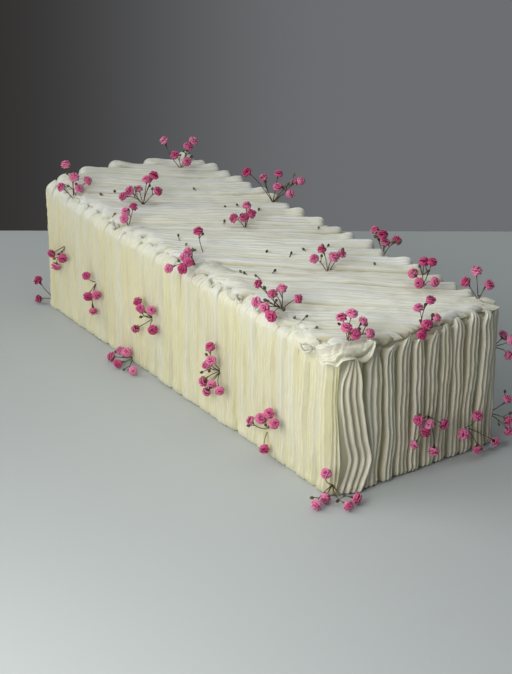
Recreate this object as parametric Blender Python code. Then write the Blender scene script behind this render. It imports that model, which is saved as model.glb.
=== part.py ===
"""A long loaf cake, piped all over in ridged ribbons of buttercream, with sprigs of small pink blossoms.

Units are metres and +Z is up.  The origin is the middle of the base.  +X runs along the loaf.
The ribbons stand upright on the four walls and lie slantwise on the top.
"""
import math
from dataclasses import dataclass

import bmesh
import bpy
import numpy as np
from mathutils import Matrix, Quaternion, Vector
from mathutils.bvhtree import BVHTree

MM = 0.001

# Driving dimensions of the loaf, over the crests of the icing
LENGTH = 0.363
WIDTH = 0.134
HEIGHT = 0.100
CORNER_RADIUS = 0.008

# The piped ribbon: three ridges, two grooves between them, and a deep gap to the next ribbon
RIBBON_WIDTH = 0.0116
RIDGES = 3
GROOVE_DEPTH = 0.0011
GAP_DEPTH = 0.0019

# The shoulder, where the wall ribbons bend inwards under the ends of the top ribbons
SHOULDER_DROP = 0.0068
SHOULDER_START_INSET = 0.0010
SHOULDER_INSET = 0.0032
SHOULDER_RELIEF = 0.5
CORE_TOP = HEIGHT - 0.0022
WALL_BEND_HEIGHT = 0.044
FOOT_INSET = 0.0007

# Sideways wander of the wall ribbons: two slow waves (per metre along, per metre up, start), and a bend
WANDER = 0.0011
WANDER_WAVES = ((47.0, 52.0, 0.0), (23.0, -71.0, 1.3))
CORNER_WANDER = 0.0026
CORNER_WANDER_REACH = 0.024

# Slant of the top ribbons, from +Y towards +X, at the far end and over the near half
FAR_SLANT = math.radians(25.0)
NEAR_SLANT = math.radians(42.0)
SLANT_CHANGE = 0.27

# Ends of the top ribbons
FRONT_INSET = 0.0062
NEAR_INSET = 0.0068
BACK_INSET = 0.0052
FAR_INSET = 0.0052
INSET_VARIATION = 0.0010
END_LENGTH = 0.0045
END_SHARE = 0.3
END_DROP = 0.0032
END_SCALLOP = 0.0016
RIM_SWELL = 0.0012
LIP_DEPTH = 0.0036
LIP_UNDERCUT = 0.0028
MIDDLE_SHARES = (0.36, 0.68)
RIBBON_HEIGHT_VARIATION = 0.0005
SHORTEST_RIBBON = 0.016

# The thick frill over the near corner, and the heaped icing at the far one
FRILL_REACH = 0.022
FRILL_OVERHANG = 0.0085
FRILL_DROP = 0.0085
HEAP_RISE = 0.0070
HEAP_RISE_AT_ENDS = 0.25
HEAP_MIDDLE = (-0.176, -0.040)
HEAP_SPREAD = (0.050, 0.062)

# Sprigs
BLOSSOM_RADIUS = 0.0036
BLOSSOM_VARIATION = 0.10
STEM_RADIUS = 0.00042
KNOT_RADIUS = 0.0011
KNOT_TURN_AXIS = (1.0, 2.0, 3.0)
KNOT_TURN = 0.7
CLEARANCE = 0.0004
SET_DOWN_FROM = 0.020
SPRIG_TURN = math.radians(55.0)
SEED = 7


@dataclass(frozen=True)
class Sprig:
    """One sprig: its foot in whole millimetres, and each blossom's place from the foot.

    A top sprig's blossoms are given as (across, up, forward), seen from the near corner.
    A wall sprig's are (along the wall, up, out from the wall).
    """

    name: str
    face: str
    foot: tuple
    blossoms: tuple


SPRIGS = (
    Sprig("sprig_top_1", "top", (-143, -60, 107),
          ((-5, 24, 0), (1, 15, 2), (10, 11, -2), (4, 6, 2), (-9, 7, 1))),
    Sprig("sprig_top_2", "top", (-102, -27, 101),
          ((-9, 8, 2), (-3, 8, -2), (3, 15, -2), (8, 18, -3), (11, 8, 2), (-14, 5, 5))),
    Sprig("sprig_top_3", "top", (-72, -58, 101), ((-1, 9, 2), (4, 11, -3), (-2, 5, 5))),
    Sprig("sprig_top_4", "top", (-151, 37, 101),
          ((-12, 20, 2), (-4, 9, 4), (6, 14, -2), (10, 18, -3), (5, 6, 10))),
    Sprig("sprig_top_5", "top", (-53, 54, 101),
          ((-19, 20, 0), (-7, 15, -2), (4, 18, -2), (3, 10, 3), (16, 12, -2), (20, 14, 2), (12, 5, 4))),
    Sprig("sprig_top_6", "top", (-25, 10, 101), ((1, 13, -2), (4, 8, 1), (-8, 5, 2), (-1, 6, 3))),
    Sprig("sprig_top_7", "top", (-2, -41, 101), ((-3, 12, 0),)),
    Sprig("sprig_top_8", "top", (13, -57, 101),
          ((-7, 5, 6), (-5, 7, 2), (-4, 5, 14), (-8, 1, 16), (-17, 0, 13))),
    Sprig("sprig_top_9", "top", (72, 9, 101), ((-9, 8, 2), (-4, 13, -2), (4, 9, 1), (9, 10, -2))),
    Sprig("sprig_top_10", "top", (66, 61, 101), ((-6, 13, -5), (-1, 11, -1), (1, 5, -2), (9, 6, -4))),
    Sprig("sprig_top_11", "top", (128, 43, 101),
          ((-6, 7, 1), (1, 14, -2), (6, 15, 1), (-3, 5, 12), (7, 5, 10))),
    Sprig("sprig_top_12", "top", (166, 58, 101), ((-2, 16, -2), (-9, 10, 1), (6, 8, 1))),
    Sprig("sprig_top_13", "top", (106, -53, 101),
          ((-15, 13, -2), (-6, 8, 2), (0, 10, -2), (10, 5, 3), (-16, 5, 8), (-11, 5, 16), (-7, 1, 20))),
    Sprig("sprig_top_14", "top", (167, -48, 101),
          ((2, 17, 0), (-4, 13, -3), (-1, 9, 3), (4, 6, 6), (9, 11, -2), (13, 5, 2))),
    Sprig("sprig_top_15", "top", (175, 3, 101),
          ((5, 17, -1), (-2, 11, -3), (9, 6, 1), (3, 3, 5), (-1, -2, 8))),
    Sprig("sprig_end_1", "near", (182, 8, 37),
          ((-15, 5, 6), (-8, 1, 8), (-8, -6, 5), (6, -4, 6), (-17, -12, 5), (-1, -21, 6))),
    Sprig("sprig_end_2", "near", (182, 41, 19), ((-10, 2, 6), (2, 11, 5), (2, -12, 7), (19, -13, 5))),
    Sprig("sprig_side_1", "front", (-152, -68, 60), ((-7, -7, 6), (-3, -16, 5), (10, -5, 6))),
    Sprig("sprig_side_2", "front", (-109, -68, 45), ((2, 8, 6), (5, -7, 7), (14, -3, 5), (8, -18, 5))),
    Sprig("sprig_side_3", "front", (-29, -68, 46),
          ((-5, 13, 6), (2, 11, 8), (11, 12, 5), (-9, -9, 6), (12, -2, 5))),
    Sprig("sprig_side_4", "front", (55, -68, 39),
          ((0, 20, 5), (4, 12, 7), (-3, 6, 6), (-7, -8, 6), (-5, -15, 5), (12, -7, 6), (6, -4, 8))),
    Sprig("sprig_side_5", "front", (109, -68, 19),
          ((-7, 6, 6), (6, 13, 7), (12, 19, 5), (19, 15, 6), (7, -9, 5))),
    Sprig("sprig_foot_1", "front", (-60, -68, 3),
          ((-9, 1, 10), (3, 1, 12), (-5, 6, 5), (4, 8, 5), (19, 1, 9))),
    Sprig("sprig_foot_2", "front", (175, -68, 9),
          ((5, 13, 6), (7, -5, 14), (4, -5, 5), (19, -5, -1), (16, -4, -10))),
    Sprig("sprig_foot_3", "far", (-182, -62, 6), ((-8, -2, 8), (-5, 11, 13), (6, 4, 6))),
    Sprig("sprig_back_1", "back", (174, 68, 68), ((0, 6, 6), (6, -6, 6), (9, 6, 5))),
    Sprig("sprig_back_2", "back", (176, 67, 21), ((8, 11, 5), (11, -11, 5), (8, -5, 7))),
    Sprig("sprig_back_3", "back", (118, 68, 40), ((-8, 9, 6), (1, 12, 5), (7, 2, 7), (-3, -7, 5))),
    Sprig("sprig_back_4", "back", (52, 68, 62),
          ((-9, 3, 5), (-1, 11, 6), (6, 3, 7), (2, -8, 5), (12, -6, 5))),
    Sprig("sprig_back_5", "back", (-31, 68, 30), ((-10, 6, 6), (0, 11, 5), (8, 4, 6))),
    Sprig("sprig_back_6", "back", (-108, 68, 55), ((-7, 9, 5), (3, 12, 7), (9, 0, 6), (-4, -7, 5))),
    Sprig("sprig_far_1", "far", (-182, 12, 58), ((-10, 5, 6), (-1, 12, 5), (7, 3, 7), (1, -8, 6))),
    Sprig("sprig_far_2", "far", (-182, 44, 27), ((-6, 8, 6), (4, 10, 5), (9, -3, 6))),
)


def make_material(name, colour, roughness):
    """Return a plain Principled material with an sRGB colour given as a hex string."""
    def linear(part):
        return part / 12.92 if part <= 0.04045 else ((part + 0.055) / 1.055) ** 2.4
    channels = [linear(int(colour[i:i + 2], 16) / 255) for i in (0, 2, 4)]
    material = bpy.data.materials.new(name)
    material.use_nodes = True
    shader = material.node_tree.nodes["Principled BSDF"]
    shader.inputs["Base Color"].default_value = (*channels, 1.0)
    shader.inputs["Roughness"].default_value = roughness
    shader.inputs["Metallic"].default_value = 0.0
    return material


def add_object(name, vertices, faces, collection=None):
    """Make a mesh object with its faces turned outwards."""
    mesh = bpy.data.meshes.new(name)
    mesh.from_pydata([tuple(vertex) for vertex in vertices], [], faces)
    work = bmesh.new()
    work.from_mesh(mesh)
    bmesh.ops.recalc_face_normals(work, faces=work.faces)
    work.to_mesh(mesh)
    work.free()
    thing = bpy.data.objects.new(name, mesh)
    (collection or bpy.context.scene.collection).objects.link(thing)
    return thing


def union_into(target, parts):
    """Join the parts to the target by one Boolean union on a collection, then remove the parts."""
    modifier = target.modifiers.new("union", "BOOLEAN")
    modifier.operation = "UNION"
    modifier.operand_type = "COLLECTION"
    modifier.collection = parts
    modifier.solver = "EXACT"
    bpy.context.view_layer.update()
    joined = bpy.data.meshes.new_from_object(target.evaluated_get(bpy.context.evaluated_depsgraph_get()))
    target.modifiers.remove(modifier)
    target.data = joined
    for part in list(parts.objects):
        bpy.data.objects.remove(part)
    bpy.data.collections.remove(parts)
    work = bmesh.new()
    work.from_mesh(joined)
    bmesh.ops.remove_doubles(work, verts=work.verts, dist=2e-6)
    bmesh.ops.dissolve_degenerate(work, edges=work.edges, dist=2e-6)
    bmesh.ops.triangulate(work, faces=work.faces)
    work.to_mesh(joined)
    work.free()


def ribbon_depth(ridge_phase):
    """Depth below the crest, counted in half ridges: deep in a gap, less in a groove, none on a ridge."""
    step = ridge_phase % (2 * RIDGES)
    return np.where(step == 0, GAP_DEPTH, np.where(step % 2 == 0, GROOVE_DEPTH, 0.0))


def wall_outline(distance):
    """Points and outward directions of the rounded rectangle, at these distances round it."""
    straight_x = LENGTH - 2 * CORNER_RADIUS
    straight_y = WIDTH - 2 * CORNER_RADIUS
    arc = math.pi / 2 * CORNER_RADIUS
    x0, y0 = straight_x / 2, straight_y / 2
    runs = ((straight_x, (-x0, -y0), -90), (straight_y, (x0, -y0), 0), (straight_x, (x0, y0), 90),
            (straight_y, (-x0, y0), 180))
    distance = distance % (2 * (straight_x + straight_y) + 4 * arc)
    points = np.zeros((len(distance), 2))
    normals = np.zeros((len(distance), 2))
    start = 0.0
    for run, (cx, cy), facing in runs:
        out = math.radians(facing)
        on_run = (distance >= start) & (distance < start + run)
        along = distance - start
        straight = np.stack([cx + CORNER_RADIUS * math.cos(out) - along * math.sin(out),
                             cy + CORNER_RADIUS * math.sin(out) + along * math.cos(out)], axis=1)
        points[on_run] = straight[on_run]
        normals[on_run] = (math.cos(out), math.sin(out))
        start += run
        on_arc = (distance >= start) & (distance < start + arc)
        turn = out + (distance - start) / CORNER_RADIUS
        bend = np.stack([np.cos(turn), np.sin(turn)], axis=1)
        centre = np.array([cx - run * math.sin(out), cy + run * math.cos(out)])
        points[on_arc] = (centre + CORNER_RADIUS * bend)[on_arc]
        normals[on_arc] = bend[on_arc]
        start += arc
    return points, normals


def wall_wander(distance, height):
    """Sideways shift of the wall ribbons: slow waves, and an S-curve by the near corner."""
    waves = sum(np.sin(along * distance + up * height + start) for along, up, start in WANDER_WAVES)
    level = height / HEIGHT
    bend = math.sin(2 * math.pi * level) * (1 - level ** 4)
    nearness = np.exp(-(((distance - LENGTH) / CORNER_WANDER_REACH) ** 2))
    return WANDER * waves / len(WANDER_WAVES) - CORNER_WANDER * bend * nearness


def make_core(collection):
    """The loaf's body: upright ribbons on the walls, bent in at the shoulder, on a flat base."""
    perimeter = 2 * (LENGTH + WIDTH) - (8 - 2 * math.pi) * CORNER_RADIUS
    ribbons = round(perimeter / RIBBON_WIDTH)
    phase = np.arange(ribbons * 2 * RIDGES)
    distance = phase * perimeter / len(phase)
    depth = ribbon_depth(phase)
    rows = ((0.0, FOOT_INSET, 1.0), (WALL_BEND_HEIGHT, 0.0, 1.0),
            (HEIGHT - SHOULDER_DROP, SHOULDER_START_INSET, 1.0), (CORE_TOP, SHOULDER_INSET, SHOULDER_RELIEF))
    vertices = []
    for height, inset, relief in rows:
        points, normals = wall_outline(distance + wall_wander(distance, height))
        flat = points - normals * (inset + relief * depth)[:, None]
        vertices += [(x, y, height) for x, y in flat]
    count = len(phase)
    faces = []
    for row in range(len(rows) - 1):
        for i in range(count):
            j = (i + 1) % count
            a, b = row * count + i, row * count + j
            faces += [(a, b, b + count), (a, b + count, a + count)]
    faces.append(tuple(range(count))[::-1])
    faces.append(tuple(range((len(rows) - 1) * count, len(rows) * count)))
    return add_object("core", vertices, faces, collection)


def top_rise(x, y):
    """Extra height of the icing heaped up towards the far front corner."""
    across = (x - HEAP_MIDDLE[0]) / HEAP_SPREAD[0]
    along = (y - HEAP_MIDDLE[1]) / HEAP_SPREAD[1]
    return HEAP_RISE * np.exp(-across ** 2 - along ** 2)


def slant_at(start):
    """Slant of the top ribbon that starts at this x on the front edge."""
    share = min(max(1 + start / SLANT_CHANGE, 0.0), 1.0)
    return FAR_SLANT + (NEAR_SLANT - FAR_SLANT) * share * share * (3 - 2 * share)


def ribbon_span(start):
    """Where the slanted line from (start, -WIDTH / 2) enters and leaves the top, with the ends' insets."""
    slant = slant_at(start)
    to_far, to_near = (-LENGTH / 2 - start) / math.sin(slant), (LENGTH / 2 - start) / math.sin(slant)
    to_back = WIDTH / math.cos(slant)
    enter = (to_far, FAR_INSET) if to_far > 0 else (0.0, FRONT_INSET)
    leave = (to_near, NEAR_INSET) if to_near < to_back else (to_back, BACK_INSET)
    return enter, leave


def ribbon_starts():
    """Where each ridge, groove and gap line of the top meets the front edge's line."""
    start = -LENGTH / 2 - WIDTH * math.tan(FAR_SLANT)
    starts = []
    while start < LENGTH / 2:
        (enter, _), (leave, _) = ribbon_span(start)
        if leave - enter > SHORTEST_RIBBON:
            starts.append(start)
        start += RIBBON_WIDTH / (2 * RIDGES) / math.cos(slant_at(start))
    return starts


def ribbon_section(index, start, lift, shifts):
    """Closed section of the top along one line: over the icing, down both ends and back underneath."""
    slant = slant_at(start)
    direction = np.array([math.sin(slant), math.cos(slant)])
    origin = np.array([start, -WIDTH / 2])
    near_corner = np.array([LENGTH / 2, -WIDTH / 2])
    from_middle = (index % (2 * RIDGES)) / RIDGES - 1
    ends = []
    for (edge, inset), shift, side in zip(ribbon_span(start), shifts, (1, -1)):
        frill = math.exp(-((np.linalg.norm(origin + direction * edge - near_corner) / FRILL_REACH) ** 2))
        inward = (inset + shift) * (1 - frill) + END_SCALLOP * from_middle ** 2 - FRILL_OVERHANG * frill
        ends.append((edge + side * inward, END_DROP + FRILL_DROP * frill))
    (first, first_drop), (last, last_drop) = ends
    length = last - first
    end = min(END_LENGTH, END_SHARE * length)
    over = ((first, first_drop), (first + end, -RIM_SWELL), (first + MIDDLE_SHARES[0] * length, 0.0),
            (first + MIDDLE_SHARES[1] * length, 0.0), (last - end, -RIM_SWELL), (last, last_drop))
    section = []
    for along, drop in over:
        x, y = origin + direction * along
        rise = top_rise(x, y) * (HEAP_RISE_AT_ENDS if drop > 0 else 1.0)
        section.append((x, y, HEIGHT - ribbon_depth(index) + lift - drop + rise))
    for along, tip in ((last - LIP_UNDERCUT, section[-1]), (first + LIP_UNDERCUT, section[0])):
        x, y = origin + direction * along
        section.append((x, y, min(tip[2], CORE_TOP) - LIP_DEPTH))
    return section


def make_top(collection):
    """The slanting top ribbons as one ridged slab, whose scalloped ends lap over the shoulder."""
    draw = np.random.default_rng(SEED)
    sections = []
    for index, start in enumerate(ribbon_starts()):
        if index % (2 * RIDGES) == 0:
            shifts = INSET_VARIATION * draw.uniform(-1, 1, 2)
            lift = RIBBON_HEIGHT_VARIATION * draw.uniform(-1, 1)
        sections.append(ribbon_section(index, start, lift, shifts))
    sides = len(sections[0])
    vertices = [point for section in sections for point in section]
    faces = []
    for row in range(len(sections) - 1):
        for i in range(sides):
            a, b = row * sides + i, row * sides + (i + 1) % sides
            faces += [(a, b, b + sides), (a, b + sides, a + sides)]
    faces.append(tuple(range(sides))[::-1])
    faces.append(tuple(range((len(sections) - 1) * sides, len(sections) * sides)))
    return add_object("top", vertices, faces, collection)


def make_cake():
    """The iced loaf as one solid."""
    parts = bpy.data.collections.new("cake_parts")
    bpy.context.scene.collection.children.link(parts)
    cake = make_core(None)
    cake.name = "cake"
    make_top(parts)
    union_into(cake, parts)
    cake.data.materials.append(make_material("cream_icing", "EFE9CC", 0.5))
    bpy.context.view_layer.update()
    return cake


def held_off(icing, point, radius):
    """Move a point out of the icing until a ball of this radius clears it and the floor."""
    need = radius + CLEARANCE
    for _ in range(12):
        nearest, normal, _, distance = icing.find_nearest(point)
        offset = point - nearest
        outside = offset.dot(normal) > 0
        if outside and distance >= need:
            break
        away = offset.normalized() if outside else normal
        point = nearest + away * (need + CLEARANCE / 10)
    point.z = max(point.z, need)
    return point


def set_down(icing, point, out, radius):
    """Bring a point in against the icing until a ball of this radius rests on it."""
    nearest = icing.ray_cast(point + out * SET_DOWN_FROM, -out)[0]
    return held_off(icing, nearest + out * radius, radius)


def sprig_directions(face):
    """The three directions in which a sprig's blossoms are measured from its foot."""
    up = Vector((0, 0, 1))
    if face == "top":
        across = Vector((math.cos(SPRIG_TURN), math.sin(SPRIG_TURN), 0))
        return across, up, Vector((across.y, -across.x, 0))
    out = {"near": Vector((1, 0, 0)), "far": Vector((-1, 0, 0)), "front": Vector((0, -1, 0)),
           "back": Vector((0, 1, 0))}[face]
    return Vector((abs(out.y), abs(out.x), 0)), up, out


def make_sprig(sprig, icing, draw, material):
    """One sprig: faceted blossoms on thin three-sided stems that meet in a small knot at its foot."""
    across, up, out = sprig_directions(sprig.face)
    off_face = up if sprig.face == "top" else out
    foot = set_down(icing, Vector(sprig.foot) * MM, off_face, KNOT_RADIUS)
    parts = bpy.data.collections.new(sprig.name + "_parts")
    bpy.context.scene.collection.children.link(parts)
    for place in sprig.blossoms:
        radius = BLOSSOM_RADIUS * (1 + BLOSSOM_VARIATION * draw.uniform(-1, 1))
        reach = (across * place[0] + up * place[1] + out * place[2]) * MM
        centre = held_off(icing, foot + reach, radius)
        add_ball("blossom", centre, radius, foot - centre, parts)
        add_stem(foot, centre, parts)
    thing = add_knot(sprig.name, foot)
    union_into(thing, parts)
    thing.data.materials.append(material)
    return thing


def add_ball(name, centre, radius, facing, collection):
    """An icosahedron of this radius, with the middle of one face turned this way."""
    work = bmesh.new()
    bmesh.ops.create_icosphere(work, subdivisions=1, radius=radius)
    work.faces.ensure_lookup_table()
    turn = work.faces[0].calc_center_median().rotation_difference(facing)
    bmesh.ops.transform(work, matrix=Matrix.Translation(centre) @ turn.to_matrix().to_4x4(), verts=work.verts)
    vertices = [tuple(vertex.co) for vertex in work.verts]
    faces = [tuple(vertex.index for vertex in face.verts) for face in work.faces]
    work.free()
    return add_object(name, vertices, faces, collection)


def add_knot(name, centre):
    """The small knot in which a sprig's stems meet, an octahedron."""
    corners = [(KNOT_RADIUS * x, KNOT_RADIUS * y, 0) for x, y in ((1, 0), (0, 1), (-1, 0), (0, -1))]
    turn = Quaternion(Vector(KNOT_TURN_AXIS), KNOT_TURN)
    corners += [(0, 0, KNOT_RADIUS), (0, 0, -KNOT_RADIUS)]
    vertices = [centre + turn @ Vector(corner) for corner in corners]
    faces = [face for i in range(4) for face in ((i, (i + 1) % 4, 4), ((i + 1) % 4, i, 5))]
    return add_object(name, vertices, faces, None)


def add_stem(start, end, collection):
    """A straight three-sided stem from the foot into a blossom."""
    along = (end - start).normalized()
    side = along.orthogonal().normalized()
    vertices = []
    for place in (start, end):
        for corner in range(3):
            turn = Quaternion(along, corner * math.tau / 3)
            vertices.append(tuple(place + turn @ side * STEM_RADIUS))
    faces = [(2, 1, 0), (3, 4, 5)]
    for i in range(3):
        j = (i + 1) % 3
        faces += [(i, j, j + 3), (i, j + 3, i + 3)]
    return add_object("stem", vertices, faces, collection)


def main():
    """Clear the scene and build the cake and its sprigs."""
    for old in list(bpy.data.objects):
        bpy.data.objects.remove(old)
    cake = make_cake()
    icing = BVHTree.FromObject(cake, bpy.context.evaluated_depsgraph_get())
    petals = make_material("pink_petals", "C23A72", 0.6)
    draw = np.random.default_rng(SEED)
    for sprig in SPRIGS:
        make_sprig(sprig, icing, draw, petals)


main()
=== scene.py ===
"""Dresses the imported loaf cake: piped buttercream ribbons, and sprigs of small dyed blossoms.

Everything is in metres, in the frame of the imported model: the origin is the middle of the base, +X runs
along the loaf and +Z is up.
"""
import logging
import math
from dataclasses import dataclass, field
from enum import Enum

import bpy
import numpy as np
from mathutils import Matrix, Vector
from mathutils.bvhtree import BVHTree


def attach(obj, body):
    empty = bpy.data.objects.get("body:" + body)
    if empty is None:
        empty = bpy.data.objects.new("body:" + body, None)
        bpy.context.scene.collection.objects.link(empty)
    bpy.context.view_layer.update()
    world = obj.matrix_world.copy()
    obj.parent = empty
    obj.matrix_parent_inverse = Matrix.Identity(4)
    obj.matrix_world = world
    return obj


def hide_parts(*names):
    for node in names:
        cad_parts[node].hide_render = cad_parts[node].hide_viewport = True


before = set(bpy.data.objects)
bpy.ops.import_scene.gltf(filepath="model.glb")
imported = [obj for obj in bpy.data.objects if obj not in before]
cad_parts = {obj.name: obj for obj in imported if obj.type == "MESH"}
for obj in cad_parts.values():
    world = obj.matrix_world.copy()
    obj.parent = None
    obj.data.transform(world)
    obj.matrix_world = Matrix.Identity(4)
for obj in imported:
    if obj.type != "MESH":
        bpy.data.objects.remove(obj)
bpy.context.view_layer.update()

MM = 0.001
TINY = 1e-9
FLOOR_GAP = 0.00005
UP = (0, 0, 1)
NO_TRIANGLES = np.zeros((0, 3), int)
BODY = "root"
log = logging.getLogger("cake")


class Side(Enum):
    """The four walls of the loaf, in the order in which they follow each other round it."""

    FRONT = "front"
    NEAR = "near"
    BACK = "back"
    FAR = "far"


def smooth(value: np.ndarray | float, low: float, high: float) -> np.ndarray:
    """A smooth step: 0 up to low, 1 from high on, and 3 t^2 - 2 t^3 between them."""
    t = np.clip((np.asarray(value, float) - low) / (high - low), 0.0, 1.0)
    return t * t * (3.0 - 2.0 * t)


def hump(value: np.ndarray | float, middle: float, spread: float) -> np.ndarray:
    """A bell: exp(-((value - middle) / spread)^2)."""
    return np.exp(-(((np.asarray(value, float) - middle) / spread) ** 2))


def unit(vectors: np.ndarray) -> np.ndarray:
    """Vectors scaled to length 1, along the last axis."""
    return vectors / np.maximum(np.linalg.norm(vectors, axis=-1, keepdims=True), 1e-12)


def ripples(u: np.ndarray, v: np.ndarray, size: float, seed: int, waves: int = 12) -> np.ndarray:
    """Even, rounded unevenness, mostly within -1 and 1: the sum of plane sine waves in random directions.

    Args:
        u: the first coordinate, in metres.
        v: the second coordinate, in metres.
        size: the waves' middle length, in metres.
        seed: for their directions, lengths and phases.
        waves: how many.

    Returns:
        The unevenness at each place.
    """
    draw = np.random.default_rng(seed)
    turn, phase = draw.uniform(0, math.tau, (2, waves))
    rate = math.tau / (size * draw.uniform(0.6, 1.7, waves))
    inner = np.asarray(u)[..., None] * rate * np.cos(turn) + np.asarray(v)[..., None] * rate * np.sin(turn)
    return np.sin(inner + phase).sum(-1) / math.sqrt(waves)


def put_mesh(name: str, finish: bpy.types.Material, points: np.ndarray, quads: np.ndarray,
             triangles: np.ndarray, uv: np.ndarray | None = None) -> bpy.types.Object:
    """Make a smooth-shaded object at the origin from whole arrays, and dress it.

    Args:
        name: the piece's name.
        finish: its material.
        points: (n, 3) places in metres.
        quads: (q, 4) corners of the four-sided faces.
        triangles: (t, 3) corners of the three-sided faces.
        uv: (n, 2) surface coordinates, or (n, 3) with the depth below the crests, or None.

    Returns:
        The object, linked to the scene, with its faces turned outwards.
    """
    corners = np.concatenate([quads[:, [0, 1, 2]], quads[:, [0, 2, 3]], triangles]).astype(int)
    a, b, c = (points[corners[:, i]] for i in range(3))
    if np.einsum("ij,ij->i", a, np.cross(b, c)).sum() < 0:
        quads, triangles = quads[:, ::-1], triangles[:, ::-1]
    mesh = bpy.data.meshes.new(name)
    mesh.from_pydata(points.tolist(), [], quads.tolist() + triangles.tolist())
    if uv is not None:
        index = np.empty(len(mesh.loops), dtype=np.int32)
        mesh.loops.foreach_get("vertex_index", index)
        for layer_name, columns in (("strand", [0, 1]), ("depth", [2, 2]))[:uv.shape[1] - 1]:
            layer = mesh.uv_layers.new(name=layer_name)
            layer.data.foreach_set("uv", uv[index][:, columns].astype(np.float32).ravel())
    mesh.polygons.foreach_set("use_smooth", np.ones(len(mesh.polygons), dtype=bool))
    mesh.materials.append(finish)
    mesh.update()
    thing = bpy.data.objects.new(name, mesh)
    bpy.context.scene.collection.objects.link(thing)
    return thing


def put_strands(name: str, finish: bpy.types.Material, rings: np.ndarray,
                uv: np.ndarray | None = None) -> bpy.types.Object:
    """Make closed strands: each is a tube through its rings, with both ends closed by a fan of triangles.

    Args:
        name: the piece's name.
        finish: its material.
        rings: (strands, rows, sides, 3) places of the rings' points.
        uv: (strands, rows, sides, 2 or 3) surface coordinates, or None.

    Returns:
        One object with all the strands.
    """
    strands, rows, sides = rings.shape[:3]
    body = rings.reshape(strands, rows * sides, 3)
    poles = rings[:, [0, -1]].mean(axis=2)
    points = np.concatenate([body, poles], axis=1).reshape(-1, 3)
    row, side = np.meshgrid(np.arange(rows - 1), np.arange(sides), indexing="ij")
    here, there = (row * sides + side).ravel(), (row * sides + (side + 1) % sides).ravel()
    tube = np.stack([here, there, there + sides, here + sides], axis=1)
    turn, last = np.arange(sides), (rows - 1) * sides
    ahead = (turn + 1) % sides
    first_cap = np.stack([ahead, turn, np.full(sides, rows * sides)], axis=1)
    last_cap = np.stack([last + turn, last + ahead, np.full(sides, rows * sides + 1)], axis=1)
    base = (np.arange(strands) * (rows * sides + 2))[:, None, None]
    quads = (tube[None] + base).reshape(-1, 4)
    triangles = (np.concatenate([first_cap, last_cap])[None] + base).reshape(-1, 3)
    if uv is not None:
        flat = uv.reshape(strands, rows * sides, uv.shape[-1])
        uv = np.concatenate([flat, uv[:, [0, -1]].mean(axis=2)], axis=1).reshape(-1, uv.shape[-1])
    return put_mesh(name, finish, points, quads, triangles, uv)


def curve_through(knots: np.ndarray, count: int) -> np.ndarray:
    """Points on the Catmull-Rom curve through the knots, which is one cubic between each two of them.

    Args:
        knots: (n, d) places.
        count: how many points.

    Returns:
        (count, d) points, as many between each two knots.
    """
    ends = np.concatenate([[2 * knots[0] - knots[1]], knots, [2 * knots[-1] - knots[-2]]])
    place = np.linspace(0, len(knots) - 1 - TINY, count)
    step = place.astype(int)
    t = (place - step)[:, None]
    p0, p1, p2, p3 = (ends[step + i] for i in range(4))
    return 0.5 * (2 * p1 + (p2 - p0) * t + (2 * p0 - 5 * p1 + 4 * p2 - p3) * t ** 2
                  + (3 * p1 - p0 - 3 * p2 + p3) * t ** 3)


class Signal:
    """A node's output inside a material, on which Python's operators add Math nodes."""

    def __init__(self, bench: "Bench", socket: bpy.types.NodeSocket) -> None:
        """Keep the socket and the bench that it belongs to."""
        self.bench, self.socket = bench, socket

    def _math(self, operation: str, first: object, second: object) -> "Signal":
        """One Math node on two values."""
        return self.bench.node("ShaderNodeMath", {"operation": operation}, {0: first, 1: second})

    def __add__(self, other: object) -> "Signal":
        """The sum."""
        return self._math("ADD", self, other)

    def __sub__(self, other: object) -> "Signal":
        """The difference."""
        return self._math("SUBTRACT", self, other)

    def __rsub__(self, other: object) -> "Signal":
        """The difference the other way round."""
        return self._math("SUBTRACT", other, self)

    def __mul__(self, other: object) -> "Signal":
        """The product."""
        return self._math("MULTIPLY", self, other)

    def __pow__(self, other: object) -> "Signal":
        """The power."""
        return self._math("POWER", self, other)

    __radd__ = __add__
    __rmul__ = __mul__


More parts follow.
